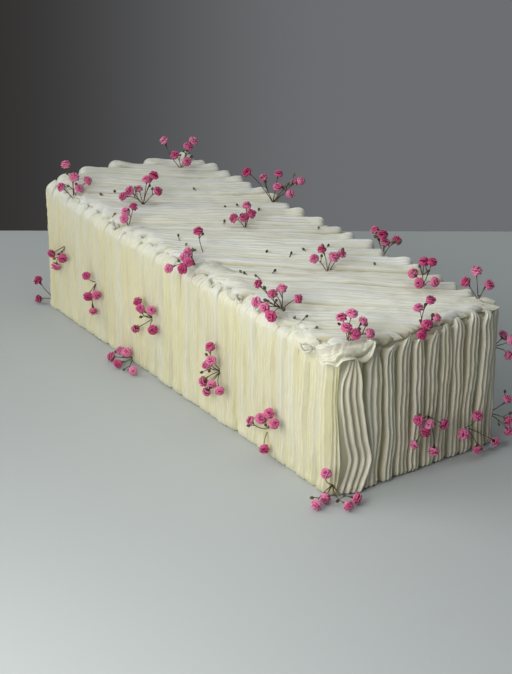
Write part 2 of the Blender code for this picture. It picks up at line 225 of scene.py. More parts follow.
class Bench:
    """A node tree under construction, with one method that adds any node."""

    def __init__(self, tree: bpy.types.NodeTree) -> None:
        """Start on this tree."""
        self.tree = tree

    def node(self, kind: str, settings: dict | None = None, inputs: dict | None = None,
             output: int | str = 0) -> Signal:
        """Add a node.

        Args:
            kind: the node's type, such as ShaderNodeMath.
            settings: its own settings, set before its sockets; "stops" holds a ramp's (place, colour) pairs.
            inputs: values or signals by the socket's index or name.
            output: which output the signal reads.

        Returns:
            The signal of that output.
        """
        made = self.tree.nodes.new(kind)
        for key, value in (settings or {}).items():
            if key == "stops":
                ramp = made.color_ramp
                while len(ramp.elements) < len(value):
                    ramp.elements.new(1.0)
                for stop, (place, colour) in zip(ramp.elements, value):
                    stop.position, stop.color = place, colour
            else:
                setattr(made, key, value)
        for key, value in (inputs or {}).items():
            self.feed(made.inputs[key], value)
        return Signal(self, made.outputs[output])

    def feed(self, socket: bpy.types.NodeSocket, value: object) -> None:
        """Link a signal to a socket, or set the socket to a plain value.

        Args:
            socket: a node's input.
            value: the signal or the value.
        """
        if isinstance(value, Signal):
            self.tree.links.new(value.socket, socket)
        else:
            socket.default_value = value

    def place(self) -> Signal:
        """Object coordinates."""
        return self.node("ShaderNodeTexCoord", output="Object")

    def surface(self, layer: str) -> Signal:
        """The piece's own surface coordinates in this UV layer."""
        return self.node("ShaderNodeUVMap", {"uv_map": layer})

    def stretch(self, place: Signal, scale: tuple) -> Signal:
        """Coordinates scaled by their own factors."""
        return self.node("ShaderNodeMapping", {}, {"Vector": place, "Scale": scale})

    def part(self, vector: Signal, number: int) -> Signal:
        """One of a vector's three numbers."""
        return self.node("ShaderNodeSeparateXYZ", {}, {0: vector}, output=number)

    def bump(self, relief: Signal, strength: float) -> Signal:
        """The normal bent by a relief in metres."""
        return self.node("ShaderNodeBump", {}, {"Height": relief, "Strength": strength, "Distance": 1.0})

    def mix(self, share: object, first: object, second: object) -> Signal:
        """A colour between two colours."""
        return self.node("ShaderNodeMix", {"data_type": "RGBA"}, {0: share, 6: first, 7: second}, output=2)

    def tint(self, colour: object, factor: Signal) -> Signal:
        """A colour made lighter or darker by a factor near 1."""
        plain = colour if isinstance(colour, Signal) else colour[:3]
        return self.node("ShaderNodeVectorMath", {"operation": "SCALE"}, {0: plain, "Scale": factor})

    def noise(self, place: Signal, scale: float, detail: float = 2.0) -> Signal:
        """Noise from 0 to 1, about 0.5."""
        return self.node("ShaderNodeTexNoise", {}, {"Vector": place, "Scale": scale, "Detail": detail})

    def ramp(self, value: Signal, low: float, high: float) -> Signal:
        """0 below low, 1 above high, smooth between them."""
        return self.node("ShaderNodeMapRange", {"interpolation_type": "SMOOTHSTEP"},
                         {"Value": value, "From Min": low, "From Max": high})


def rgba(colour: tuple) -> tuple:
    """A linear colour with its alpha."""
    return (*colour, 1.0)


@dataclass(frozen=True)
class Finish:
    """What every finish shares: a name, and a Principled shader to set up."""

    name: str

    def start(self, roughness: float, specular: float = 0.5) -> tuple:
        """Make the material.

        Args:
            roughness: the shader's own roughness.
            specular: the strength of its gloss.

        Returns:
            The material, its bench and its Principled node's inputs.
        """
        material = bpy.data.materials.new(self.name)
        material.use_nodes = True
        inputs = material.node_tree.nodes["Principled BSDF"].inputs
        inputs["Roughness"].default_value = roughness
        inputs["Specular IOR Level"].default_value = specular
        return material, Bench(material.node_tree), inputs


@dataclass(frozen=True)
class IcingFinish(Finish):
    """Buttercream: a soft-glossed cream with faint patches, drag lines along the ribbon and pin-holes.

    The cream is painted yellower on the walls and whiter on the top: painted light for the warm bounce on the
    walls and the cool sky light and sheen on the top. It runs in bands along each ribbon, and is painted
    darker in the gaps as shade, by the depth below the crests in millimetres.
    """

    # Painted light: wall and top are one cream; the walls' yellow stands in for bounce light, the top's
    # cooler white for sky light and sheen.
    wall: tuple = (0.775, 0.74, 0.495)
    streak: tuple = (0.77, 0.755, 0.615)
    top: tuple = (0.725, 0.725, 0.605)
    top_streak: tuple = (0.765, 0.785, 0.745)
    # Painted shade: the olive deep colour goes into the gaps and hollows, the more the further below the
    # crests, between the low and high depths in millimetres, up to the share given next.
    deep: tuple = (0.50, 0.46, 0.28)
    gap_shade: float = 0.25
    gap_shade_low: float = 1.4
    gap_shade_high: float = 4.2
    level_low: float = 0.086
    level_high: float = 0.1005
    patch: float = 0.07
    patch_scale: float = 26.0
    band_scale: tuple = (120.0, 9.0, 1.0)
    band_range: tuple = (0.34, 0.68)
    drag: float = 0.00016
    drag_scale: tuple = (1500.0, 70.0, 1.0)
    grain: float = 0.00009
    grain_scale: float = 1300.0
    pit: float = 0.00035
    pit_scale: float = 260.0
    pit_range: tuple = (0.04, 0.16)
    pit_patch_scale: float = 90.0
    pit_patch_range: tuple = (0.56, 0.66)
    gloss: float = 0.42
    roughness: float = 0.40
    roughness_change: float = 0.16
    roughness_scale: float = 60.0
    subsurface: float = 0.10
    subsurface_radius: tuple = (1.0, 0.85, 0.5)
    subsurface_scale: float = 0.0012

    def make(self) -> bpy.types.Material:
        """Make it from Object coordinates and the strands' own surface coordinates.

        Returns:
            The material.
        """
        material, bench, inputs = self.start(self.roughness, self.gloss)
        inputs["Subsurface Weight"].default_value = self.subsurface
        inputs["Subsurface Radius"].default_value = self.subsurface_radius
        inputs["Subsurface Scale"].default_value = self.subsurface_scale
        place, strand = bench.place(), bench.surface("strand")
        height = bench.part(place, 2)
        share = bench.ramp(bench.noise(bench.stretch(strand, self.band_scale), 1.0, 3.0), *self.band_range)
        wall = bench.mix(share, rgba(self.wall), rgba(self.streak))
        top = bench.mix(share, rgba(self.top), rgba(self.top_streak))
        # Painted light: the walls' yellower cream gives way to the top's whiter one with height.
        colour = bench.mix(bench.ramp(height, self.level_low, self.level_high), wall, top)
        # Painted shade: the deeper below the crests, the more of the olive deep colour.
        depth = bench.part(bench.surface("depth"), 0)
        gap_shade = bench.ramp(depth, self.gap_shade_low, self.gap_shade_high) * self.gap_shade
        colour = bench.mix(gap_shade, colour, rgba(self.deep))
        shade = bench.noise(place, self.patch_scale, 3.0) * self.patch + (1.0 - self.patch / 2)
        bench.feed(inputs["Base Color"], bench.tint(colour, shade))
        sheen = bench.noise(place, self.roughness_scale) * self.roughness_change + self.roughness
        bench.feed(inputs["Roughness"], sheen)
        lines = bench.noise(bench.stretch(strand, self.drag_scale), 1.0)
        grain = bench.noise(place, self.grain_scale)
        cells = bench.node("ShaderNodeTexVoronoi", {}, {"Vector": place, "Scale": self.pit_scale})
        pitted = bench.ramp(bench.noise(place, self.pit_patch_scale), *self.pit_patch_range)
        pits = (1.0 - bench.ramp(cells, *self.pit_range)) * pitted
        relief = lines * self.drag + grain * self.grain - pits * self.pit
        bench.feed(inputs["Normal"], bench.bump(relief, 0.7))
        return material


@dataclass(frozen=True)
class PetalFinish(Finish):
    """Dyed petals: dark magenta at the foot and light pink at the lip, each blossom a little different."""

    foot: tuple = (0.20, 0.007, 0.060)
    middle: tuple = (0.56, 0.045, 0.19)
    lip: tuple = (0.86, 0.30, 0.50)
    along: float = 0.80
    blossom: float = 0.50
    speckle: float = 0.50
    speckle_scale: float = 900.0
    darkening: float = 0.46
    vein: float = 0.00012
    vein_scale: float = 2600.0

    def make(self) -> bpy.types.Material:
        """Make it; u is the blossom's own tint, and v runs from the petal's foot to its lip.

        Returns:
            The material.
        """
        material, bench, inputs = self.start(0.62, 0.3)
        inputs["Subsurface Weight"].default_value = 0.15
        inputs["Subsurface Scale"].default_value = 0.001
        place, strand = bench.place(), bench.surface("strand")
        speckle = bench.noise(place, self.speckle_scale) * self.speckle
        level = bench.part(strand, 1) * self.along + bench.part(strand, 0) * self.blossom + speckle
        stops = tuple(zip((0.0, 0.5, 1.0), map(rgba, (self.foot, self.middle, self.lip))))
        colour = bench.node("ShaderNodeValToRGB", {"stops": stops}, {0: level - self.darkening})
        bench.feed(inputs["Base Color"], colour)
        veins = bench.noise(place, self.vein_scale) * self.vein
        bench.feed(inputs["Normal"], bench.bump(veins, 0.6))
        return material


@dataclass(frozen=True)
class TwigFinish(Finish):
    """Stems and buds: a dull colour that drifts between two tones, over a fine fibrous relief."""

    light: tuple = (0.17, 0.13, 0.055)
    dark: tuple = (0.055, 0.032, 0.022)
    drift_scale: float = 160.0
    fibre: float = 0.0001
    fibre_scale: float = 2400.0

    def make(self) -> bpy.types.Material:
        """Make it from Object coordinates.

        Returns:
            The material.
        """
        material, bench, inputs = self.start(0.7, 0.3)
        place = bench.place()
        drift = bench.ramp(bench.noise(place, self.drift_scale), 0.35, 0.65)
        bench.feed(inputs["Base Color"], bench.mix(drift, rgba(self.dark), rgba(self.light)))
        fibres = bench.noise(place, self.fibre_scale) * self.fibre
        bench.feed(inputs["Normal"], bench.bump(fibres, 0.5))
        return material


@dataclass(frozen=True)
class FloorFinish(Finish):
    """A plain pale matt floor."""

    colour: tuple = (0.50, 0.535, 0.535)
    patch: float = 0.03
    patch_scale: float = 7.0

    def make(self) -> bpy.types.Material:
        """Make it, with a very faint unevenness.

        Returns:
            The material.
        """
        material, bench, inputs = self.start(0.9, 0.1)
        shade = bench.noise(bench.place(), self.patch_scale) * self.patch + (1.0 - self.patch / 2)
        bench.feed(inputs["Base Color"], bench.tint(rgba(self.colour), shade))
        return material


@dataclass(frozen=True)
class Loaf:
    """The iced loaf's sizes over the crests, and the shapes that its walls and top share."""

    length: float = 0.363
    width: float = 0.134
    height: float = 0.100
    corner: float = 0.008
    heap_rise: float = 0.0070
    heap_middle: tuple = (-0.176, -0.040)
    heap_spread: tuple = (0.050, 0.062)
    far_slant: float = math.radians(25.0)
    near_slant: float = math.radians(42.0)
    slant_change: float = 0.27

    @property
    def legs(self) -> np.ndarray:
        """Measure the straights and corners in turn, from the far front corner's straight on.

        Returns:
            Their eight lengths.
        """
        arc = math.pi / 2 * self.corner
        run, end = self.length - 2 * self.corner, self.width - 2 * self.corner
        return np.array([run, arc, end, arc, run, arc, end, arc])

    @property
    def near_corner(self) -> float:
        """Distance round the loaf at which the near front corner's middle stands."""
        return float(self.legs[0] + self.legs[1] / 2)

    def outline(self, distance: np.ndarray) -> tuple[np.ndarray, np.ndarray]:
        """The rounded rectangle: on a straight a point moves along it, on a corner it turns round its centre.

        Args:
            distance: distances round the loaf, of any shape.

        Returns:
            Points and outward directions, each with a last axis of 2.
        """
        ends = np.cumsum(self.legs)
        distance = distance % ends[-1]
        leg = np.minimum(np.searchsorted(ends, distance, side="right"), len(ends) - 1)
        left = ends[leg] - distance
        wall, bent = leg // 2, leg % 2 == 1
        facing = np.radians(90.0 * wall - 90.0)
        turn = facing + np.where(bent, (self.legs[leg] - left) / self.corner, 0.0)
        out = np.stack([np.cos(turn), np.sin(turn)], axis=-1)
        along = np.stack([-np.sin(facing), np.cos(facing)], axis=-1)
        x, y = self.length / 2 - self.corner, self.width / 2 - self.corner
        centre = np.array([(x, -y), (x, y), (-x, y), (-x, -y)])[wall]
        return centre + self.corner * out - np.where(bent, 0.0, left)[..., None] * along, out

    def heap(self, x: np.ndarray, y: np.ndarray) -> np.ndarray:
        """Extra height of the icing heaped up at the far front corner: a bell in x times a bell in y."""
        return (self.heap_rise * hump(x, self.heap_middle[0], self.heap_spread[0])
                * hump(y, self.heap_middle[1], self.heap_spread[1]))

    def slant(self, start: np.ndarray) -> np.ndarray:
        """Slant of the top ribbon that starts at this x on the front edge."""
        return self.far_slant + (self.near_slant - self.far_slant) * smooth(start, -self.slant_change, 0)


@dataclass(frozen=True)
class Nozzle:
    """The section that a ribbed nozzle leaves: three ridges, two grooves, and steep flanks into the gaps."""

    ridge_pitch: float = 0.56
    groove: float = 0.0020
    flank: float = 0.0020
    back: float = 0.0058
    sharpness: float = 1.25
    reach: float = 1.5
    points: int = 31
    flank_lead: float = 0.3
    closing: tuple = (0.9, 0.0, -0.9)

    def section(self) -> tuple[np.ndarray, np.ndarray, np.ndarray]:
        """Places of the section's points.

        A groove is |sin| of the place across to the power of the sharpness, so that its crests are narrow and
        its bottom is round; past the outer grooves the flank falls off as a square. The closing points are
        the back.

        Returns:
            Places across, from -1 to 1, heights below the crest, and which points aren't on the back.
        """
        across = np.linspace(-1.0, 1.0, self.points)
        ridge = 1 - np.abs(np.sin(np.pi * across / self.ridge_pitch)) ** self.sharpness
        ridge = np.where(np.abs(across) > self.reach * self.ridge_pitch, 0.0, ridge)
        edge = (self.reach - self.flank_lead) * self.ridge_pitch
        over = np.clip((np.abs(across) - edge) / (1 - edge), 0, 1)
        height = -self.groove * (1 - ridge) - self.flank * over ** 2
        back = np.full(len(self.closing), -self.back)
        front = np.arange(self.points + len(self.closing)) < self.points
        return np.concatenate([across, self.closing]), np.concatenate([height, back]), front


@dataclass
class WallIcing:
    """The upright ribbons of one wall: rounded feet, a slow wander, and tops bent in over the shoulder.

    The near end's ribbons narrow to tips instead. Each row of near_tips holds a place past the near front
    corner, how far the tip stays below the top, how much it narrows, and how far it bends in; all but the
    narrowing are in millimetres. Past that corner one fat ribbon takes the place of two, and corner_curve is
    the line that bends it: (height, shift) in millimetres.
    """

    loaf: Loaf
    side: Side
    nozzle: Nozzle = field(default_factory=Nozzle)
    seed: int = 11
    ribbons_round: int = 89
    overlap: float = 1.05
    overlap_change: float = 0.04
    phase: float = 0.0044
    gap_jitter: float = 0.0007
    wander: float = 0.0011
    shoulder_drop: float = 0.0105
    shoulder_reach: float = 0.0098
    shoulder_turn: float = math.radians(78.0)
    shoulder_taper: float = 0.30
    lid: float = 0.0020
    near_drop: float = 0.0070
    near_lean: float = 0.0010
    peak_change: float = 0.0008
    tip_start: float = 0.0100
    tip_start_change: float = 0.003
    fat_tip_start: float = 0.012
    tip_lean: float = 0.0026
    tip_lean_change: float = 0.0030
    foot_gap: float = 0.0007
    foot_height: float = 0.008
    foot_inset: float = 0.0030
    foot_bulge: float = 0.0005
    foot_hook: float = 0.0016
    push: float = 0.0004
    near_push: float = 0.00065
    tremble: float = 0.00012
    tilt: float = 0.00035
    unevenness: float = 0.00022
    corner_tilt: float = 0.0034
    corner_round: float = 0.0030
    fat_span: tuple = (0.0035, 0.0230)
    fat_gather: tuple = (0.004, 0.006)
    fat_width: float = 0.015
    fat_sink: float = 0.0007
    fat_nozzle: Nozzle = field(default_factory=lambda: Nozzle(0.42, 0.0030, 0.0030, 0.0072, 0.9, 2.5))
    corner_curve: tuple = ((-5, 0.6), (0, -0.6), (4, -0.9), (9, 0.4), (23, 3.6), (37, 1.0), (51, -1.4),
                           (68, -2.6), (82, -1.6), (96, 0.0), (105, 1.0))
    near_tips: tuple = ((0, 5.5, 0.5, 3.9), (13, 6.4, 0.93, 3.0), (30, 5.0, 0.92, 3.4), (42, 2.2, 0.93, 2.4),
                        (53, 0.2, 0.93, 1.6), (64, 4.0, 0.85, 3.2), (75, 5.0, 0.8, 4.0), (86, 2.2, 0.7, 4.6),
                        (97, 1.2, 0.6, 5.6), (108, 0.6, 0.75, 5.8), (119, 1.6, 0.6, 5.6),
                        (131, 0.8, 0.7, 5.8))
    foot_rows: int = 9
    wall_rows: int = 36
    top_rows: int = 19

    def own_ribbons(self) -> np.ndarray:
        """Find the ribbons of this wall.

        Returns:
            Numbers of the ribbons whose middles stand on it.
        """
        legs = np.cumsum(self.loaf.legs)
        middles = (np.arange(self.ribbons_round) + 0.5) * legs[-1] / self.ribbons_round + self.phase
        corners = legs[::2] + self.loaf.legs[1] / 2
        wall = list(Side).index(self.side)
        return np.nonzero(np.searchsorted(corners, middles) % len(Side) == wall)[0]

    def gap_lines(self, draw: np.random.Generator) -> np.ndarray:
        """Set the gaps between the ribbons: even steps with a little jitter.

        Those in and beside the fat ribbon's span move to its two edges, so the ribbons between them have no
        width.

        Args:
            draw: the generator for the jitter.

        Returns:
            Distances round the loaf, one more than there are ribbons.
        """
        count = self.ribbons_round
        edge = np.arange(count + 1) * self.loaf.legs.sum() / count
        edge[1:-1] += draw.uniform(-self.gap_jitter, self.gap_jitter, count - 1)
        edge += self.phase
        low, high = np.array(self.fat_span) + self.loaf.near_corner
        before, after = self.fat_gather
        inside = np.nonzero((edge > low - before) & (edge < high + after))[0]
        edge[inside] = np.where(edge[inside] < (low + high) / 2, low, high)
        return edge

    def drift(self, distance: np.ndarray, height: np.ndarray) -> np.ndarray:
        """Shift the ribbons sideways: two slow waves, and beside the near corner the corner's curve.

        Args:
            distance: distances round the loaf.
            height: heights above the base.

        Returns:
            Shifts round the loaf.
        """
        waves = np.sin(47 * distance + 52 * height) + np.sin(23 * distance - 71 * height + 1.3)
        curve = curve_through(np.array(self.corner_curve, float) * MM, 120)
        past = distance - self.loaf.near_corner
        near = smooth(past, -0.006, 0.005) * (1 - smooth(past, 0.020, 0.034))
        return self.wander * waves / 2 + np.interp(height, curve[:, 0], curve[:, 1]) * near

    def rings(self) -> tuple[np.ndarray, np.ndarray]:
        """Rings of every ribbon of this wall.

        A ribbon's line climbs the wall, then follows a quarter of an ellipse inwards. Each point of the
        section goes sideways round the loaf by its place across, and outwards by its height.

        Returns:
            Rings (ribbons, rows, sides, 3) and surface coordinates (ribbons, rows, sides, 3).
        """
        loaf, draw = self.loaf, np.random.default_rng(self.seed)
        edge, own = self.gap_lines(draw), self.own_ribbons()
        own = own[edge[own + 1] - edge[own] > MM]
        per = {key: draw.uniform(-1, 1, self.ribbons_round)[own][:, None, None] for key in (
            "push", "phase", "phase2", "tilt", "peak", "lean", "foot", "hook", "wave", "left", "right")}
        left, right = edge[own][:, None, None], edge[own + 1][:, None, None]
        middle = (left + right) / 2
        half = (right - left) / 2 * (self.overlap + self.overlap_change * per["wave"])
        fat = (right - left) > self.fat_width
        upright = self.side is Side.NEAR
        place = (middle - loaf.near_corner) / MM
        tips = np.array(self.near_tips)
        sunk, narrow, bent = (np.interp(place, tips[:, 0], tips[:, i]) for i in (1, 2, 3))
        if upright:
            drop, lid, reach = self.near_drop, sunk * MM, bent * MM + self.near_lean * per["left"]
        else:
            drop, lid, reach = self.shoulder_drop, self.lid, self.shoulder_reach

        # The line: height above the base, and inset from the crests' outline.
        foot = np.linspace(0, 1, self.foot_rows, endpoint=False) ** 1.4 * self.foot_height
        wall = np.linspace(self.foot_height, loaf.height - drop, self.wall_rows, endpoint=False)
        turn = np.linspace(0, 1, self.top_rows)
        climb = np.concatenate([foot, wall, np.full(self.top_rows, loaf.height - drop)])[None, :, None]
        swing = np.concatenate([np.zeros(self.foot_rows + self.wall_rows), turn])[None, :, None]
        angle = swing * self.shoulder_turn
        top_gap = lid + self.peak_change * (per["peak"] + (0.0 if upright else 0.3))
        height = climb + (drop - top_gap) * np.sin(angle)
        start = self.foot_gap * (1 + per["foot"])
        height = start + height * (1 - start / loaf.height)
        inset = reach * (1 - np.cos(angle))
        inset = inset + self.foot_inset * np.exp(-height / 0.0011)
        inset = inset - self.foot_bulge * hump(height, 0.0052, 0.003)
        inset = inset - (self.near_push if upright else self.push) * per["push"]
        inset = inset - 0.0004 * np.sin(41 * middle + 38 * height)
        inset = inset - self.tremble * np.sin(height / 0.0009 + 6 * per["phase"]) * hump(per["wave"], 1, 0.8)

        # The tip: 0 along the ribbon and 1 at its end, where the ribbon narrows and its ridges fade.
        summit = loaf.height - top_gap
        starts = summit - self.tip_start - self.tip_start_change * per["right"] - self.fat_tip_start * fat
        if upright:
            tip = np.clip((height - starts) / (summit - starts), 0, 1) ** 1.6
            taper, fading = 1 - narrow * tip, 0.25 * tip
        else:
            tip = smooth(swing, 0.45, 1.0)
            taper, fading = 1 - self.shoulder_taper * tip, 0.65 * smooth(height, 0.070, 0.098)
        taper = taper * (1 - 0.16 * np.exp(-height / 0.0016))
        relief = (1 - fading) * (0.55 + 0.45 * smooth(height, 0.0, 0.004))

        # The section: outwards by its ridges, a tilt and some unevenness, and sideways by the line's wander.
        across, depth, front = self.nozzle.section()
        across, depth = across[None, None], np.where(fat, self.fat_nozzle.section()[1], depth)
        tilt = (self.tilt * per["tilt"] + self.corner_tilt * fat) * across - self.fat_sink * fat
        tilt = tilt - self.corner_round * hump(place + across * half / MM, 0, 5.5)
        uneven = self.unevenness * ripples(middle * 40 + across * 0.011, height, 0.012, self.seed + 1)
        out = np.where(front, depth * relief + tilt + uneven, -self.nozzle.back)
        lean = (self.tip_lean + self.tip_lean_change * per["lean"]) * tip * (1 - fat)
        lean = lean * (1.0 if upright else 0.5)
        side_shift = (self.drift(middle + across * half, height)
                      + 0.0007 * np.sin(height / 0.017 + 3 * per["phase"])
                      + 0.0004 * np.sin(height / 0.0061 + 5 * per["phase2"])
                      + self.foot_hook * per["hook"] * np.exp(-height / 0.005)
                      + lean)
        distance = middle + side_shift + across * half * taper
        flat, normal = loaf.outline(distance)
        level_out = out * np.cos(angle) - inset
        upwards = np.broadcast_to(height + out * np.sin(angle), distance.shape)
        places = np.concatenate([flat + normal * level_out[..., None], upwards[..., None]], axis=-1)
        rise = loaf.heap(places[..., 0], places[..., 1]) * smooth(places[..., 2], 0.070, 0.100)
        places[..., 2] = np.maximum(places[..., 2] + rise, FLOOR_GAP)
        round_it = middle + across * half
        # The third coordinate is the depth below the crest, which sets the painted shade in the grooves and
        # gaps.
        uv = np.stack(np.broadcast_arrays(round_it, height + swing * 0.01, -depth / MM), axis=-1)
        return places, uv

    def build(self, finish: bpy.types.Material) -> bpy.types.Object:
        """Make the wall's piece, dressed in this finish."""
        return put_strands("icing_wall_" + self.side.value, finish, *self.rings())


@dataclass
class TopIcing:
    """The slanting ribbons of the top, from blunt starts on the front rim to blunt ends on the other edges.

    One gap, deep_gap, meets the front edge at that x and stands open round deep_middle.
    """

    loaf: Loaf
    nozzle: Nozzle = field(default_factory=lambda: Nozzle(groove=0.0016, flank=0.0025, back=0.0062))
    seed: int = 23
    ribbon_width: float = 0.0116
    overlap: float = 1.06
    rows: int = 72
    shortest: float = 0.013
    front_inset: float = 0.0075
    back_inset: float = 0.0050
    near_inset: float = 0.0068
    near_overhang: float = 0.0020
    far_inset: float = 0.0045
    lip_undercut: float = 0.0052
    lip_cut: float = 0.8
    start_change: float = 0.0028
    end_change: float = 0.0042
    lip_end_change: float = 0.0012
    start_round: tuple = (0.0060, 0.0050)
    end_round: tuple = (0.0032, 0.0040)
    lip_end_round: tuple = (0.0077, 0.0020)
    gap_opening: float = 0.0011
    deep_gap: float = 0.0772
    deep_opening: float = 0.0034
    # Painted shade: extra depth, in metres, that darkens the deep gap's flanks.
    deep_gap_flank_shade: float = 0.0020
    deep_middle: float = -0.028
    deep_spread: float = 0.019
    start_hook: float = 0.0020
    start_swell: float = 0.0020
    end_swell: float = 0.0008
    lift: float = 0.0007
    tilt: float = 0.0011
    unevenness: float = 0.00028

    def edge_starts(self) -> np.ndarray:
        """Find where the line of each gap meets the front edge's line: steps of one ribbon across the slant.

        Returns:
            The places along X, shifted together so that one is the deep gap.
        """
        start = -self.loaf.length / 2 - self.loaf.width * math.tan(self.loaf.far_slant) - self.ribbon_width
        starts = [start]
        while start < self.loaf.length / 2 + 0.03:
            start += self.ribbon_width / math.cos(float(self.loaf.slant(start)))
            starts.append(start)
        starts = np.array(starts)
        return starts + self.deep_gap - starts[np.abs(starts - self.deep_gap).argmin()]

    def bend(self, x: np.ndarray, y: np.ndarray) -> np.ndarray:
        """Bow the straight strokes, which leave the front edge steeply and then lean over.

        Args:
            x: places along the loaf.
            y: places across it.

        Returns:
            Shifts along X: an exponential from the front edge on, plus two slow waves.
        """
        past_front = y + self.loaf.width / 2
        near = smooth(x, 0.06, 0.15)
        waves = 0.0010 * np.sin(x / 0.021 + y / 0.027) + 0.0007 * np.sin(x / 0.047 - y / 0.015 + 1.0)
        return (0.0022 + 0.0045 * near) * np.exp(-past_front / 0.018) + waves

    def deep_share(self, y: np.ndarray) -> np.ndarray:
        """How far the deep gap is open at each y: a bell."""
        return hump(y, self.deep_middle, self.deep_spread)

    def on_front_edge(self, x: np.ndarray) -> np.ndarray:
        """Points of the front edge's line, one for each ribbon."""
        return np.stack([x, np.full(len(x), -self.loaf.width / 2)], axis=-1)[:, None, None]

    def gap_line(self, edge: np.ndarray, line: np.ndarray,
                 square: np.ndarray) -> tuple[np.ndarray, np.ndarray]:
        """Measure from the ribbons' middle lines to a gap line beside each.

        Args:
            edge: where each gap line meets the front edge's line.
            line: (ribbons, rows, sides, 2) points of the middle lines.
            square: (ribbons, 1, 1, 2) directions across them.

        Returns:
            Distances across to the gap line, and how wide the gap is open.
        """
        tilt = self.loaf.slant(edge)
        way = np.stack([np.sin(tilt), np.cos(tilt)], axis=-1)[:, None, None]
        gap = self.on_front_edge(edge) - line
        cross = gap[..., 0] * way[..., 1] - gap[..., 1] * way[..., 0]
        over = square[..., 0] * way[..., 1] - square[..., 1] * way[..., 0]
        edge = edge[:, None, None]
        steady = (0.5 + 0.5 * np.sin(900 * edge)) * self.gap_opening
        opening = steady * (0.5 + 0.5 * np.sin(line[..., 1] / 0.016 + 700 * edge))
        deep = self.deep_opening * self.deep_share(line[..., 1])
        return cross / over, np.where(np.abs(edge - self.deep_gap) < MM, deep, opening)

    @staticmethod
    def rounding(left: np.ndarray, reach: np.ndarray, drop: np.ndarray) -> np.ndarray:
        """A quarter of an ellipse: how far a ribbon falls at this distance from its end."""
        return drop * (1 - np.sqrt(1 - np.clip(1 - left / reach, 0, 1) ** 2))

    def rings(self) -> tuple[np.ndarray, np.ndarray]:
        """Rings of every top ribbon.

        The middle line runs straight at its slant between its two ends. The section goes sideways, square to
        it, as far as the neighbours' gap lines, and up by its height; near each end it drops as a quarter
        of an ellipse, behind a low swell.

        Returns:
            Rings (ribbons, rows, sides, 3) and surface coordinates (ribbons, rows, sides, 3).
        """
        loaf, draw = self.loaf, np.random.default_rng(self.seed)
        edges = self.edge_starts()
        low, high = edges[:-1], edges[1:]
        middle = (low + high) / 2
        slant = loaf.slant(middle)
        heading = np.stack([np.sin(slant), np.cos(slant)], axis=-1)
        square = np.stack([np.cos(slant), -np.sin(slant)], axis=-1)
        reach_far = (-loaf.length / 2 + self.far_inset - middle) / heading[:, 0]
        reach_front = self.front_inset / heading[:, 1]
        reach_near = (loaf.length / 2 - self.near_inset - middle) / heading[:, 0]
        reach_back = (loaf.width - self.back_inset) / heading[:, 1]
        first = np.maximum(reach_far, reach_front)
        arrival = -loaf.width / 2 + reach_near * heading[:, 1]
        inset = self.near_overhang * smooth(arrival, 0.020, 0.062)
        reach_near = reach_near + inset / heading[:, 0]
        last = np.minimum(reach_near, reach_back)
        at_lip = (reach_near < reach_back).astype(float)
        keep = last - first > self.shortest
        low, high, middle, heading, square, first, last, at_lip = (
            part[keep] for part in (low, high, middle, heading, square, first, last, at_lip))
        lean_cut = (at_lip * square[:, 0] / heading[:, 0])[:, None, None]
        first, last, at_lip = (part[:, None, None] for part in (first, last, at_lip))
        per = {key: draw.uniform(-1, 1, len(middle))[:, None, None] for key in (
            "start", "end", "lift", "tilt", "swell", "hook", "phase", "gap")}
        first = first + self.start_change * per["start"]
        last = last + np.where(at_lip > 0, self.lip_end_change, self.end_change) * per["end"]

        # The middle lines, and the section's width between the gap lines.
        steps = np.linspace(0, 1, self.rows)
        share = (0.5 * (1 - np.cos(np.pi * steps)) / 2 + 0.5 * steps)[None, :, None]
        across, depth, front = self.nozzle.section()
        across, depth = across[None, None], depth[None, None]
        last = last - self.lip_cut * lean_cut * across * self.ribbon_width / 2
        last = last - np.where(front, 0.0, self.lip_undercut * at_lip)
        along = first + (last - first) * share
        heading, square = heading[:, None, None], square[:, None, None]
        line = self.on_front_edge(middle) + along[..., None] * heading
        offsets = []
        for edge, inwards in ((low, 1), (high, -1)):
            offset, opening = self.gap_line(edge, line, square)
            offsets.append(offset + inwards * opening / 2)
        centre, half = (offsets[0] + offsets[1]) / 2, (offsets[1] - offsets[0]) / 2 * self.overlap
        from_start, to_end = along - first, last - along
        blunt = 1 - 0.50 * np.exp(-from_start / 0.0030) - (0.35 - 0.30 * at_lip) * np.exp(-to_end / 0.0022)
        hook = self.start_hook * per["hook"] * np.exp(-from_start / 0.006)
        flat = line + (centre + across * half * blunt + hook)[..., None] * square
        x, y = flat[..., 0], flat[..., 1]
        x = x + self.bend(x, y)

        # The height: the crest swells near both ends and drops at them, and the ridges fade in at the start.
        end_reach, end_fall = (np.where(at_lip > 0, lip, other)
                               for lip, other in zip(self.lip_end_round, self.end_round))
        start_drop = self.rounding(from_start, *self.start_round)
        end_drop = self.rounding(to_end, end_reach, end_fall)
        swell = (0.0001 + self.start_swell * ((per["swell"] + 1) / 2) ** 2) * hump(from_start, 0.0080, 0.0075)
        swell = swell + self.end_swell * (1 + per["gap"]) * hump(to_end, 0.005, 0.005)
        relief = 0.8 + 0.3 * np.sin(along / 0.021 + 4 * per["phase"])
        relief = relief * (0.25 + 0.75 * smooth(from_start, 0.001, 0.011))
        crest = (loaf.height + self.lift * per["lift"] + swell - start_drop - end_drop
                 + 0.00025 * np.sin(along / 0.012 + 5 * per["phase"]))
        middle = middle[:, None, None]
        uneven = self.unevenness * ripples(middle * 30 + across * 0.012, along, 0.016, self.seed + 1)
        surface = crest + depth * relief + self.tilt * per["tilt"] * across + uneven
        floor = np.minimum(crest, loaf.height) - self.nozzle.back
        z = np.where(front, surface, floor) + loaf.heap(x, y)
        places = np.stack(np.broadcast_arrays(x, y, z), axis=-1)

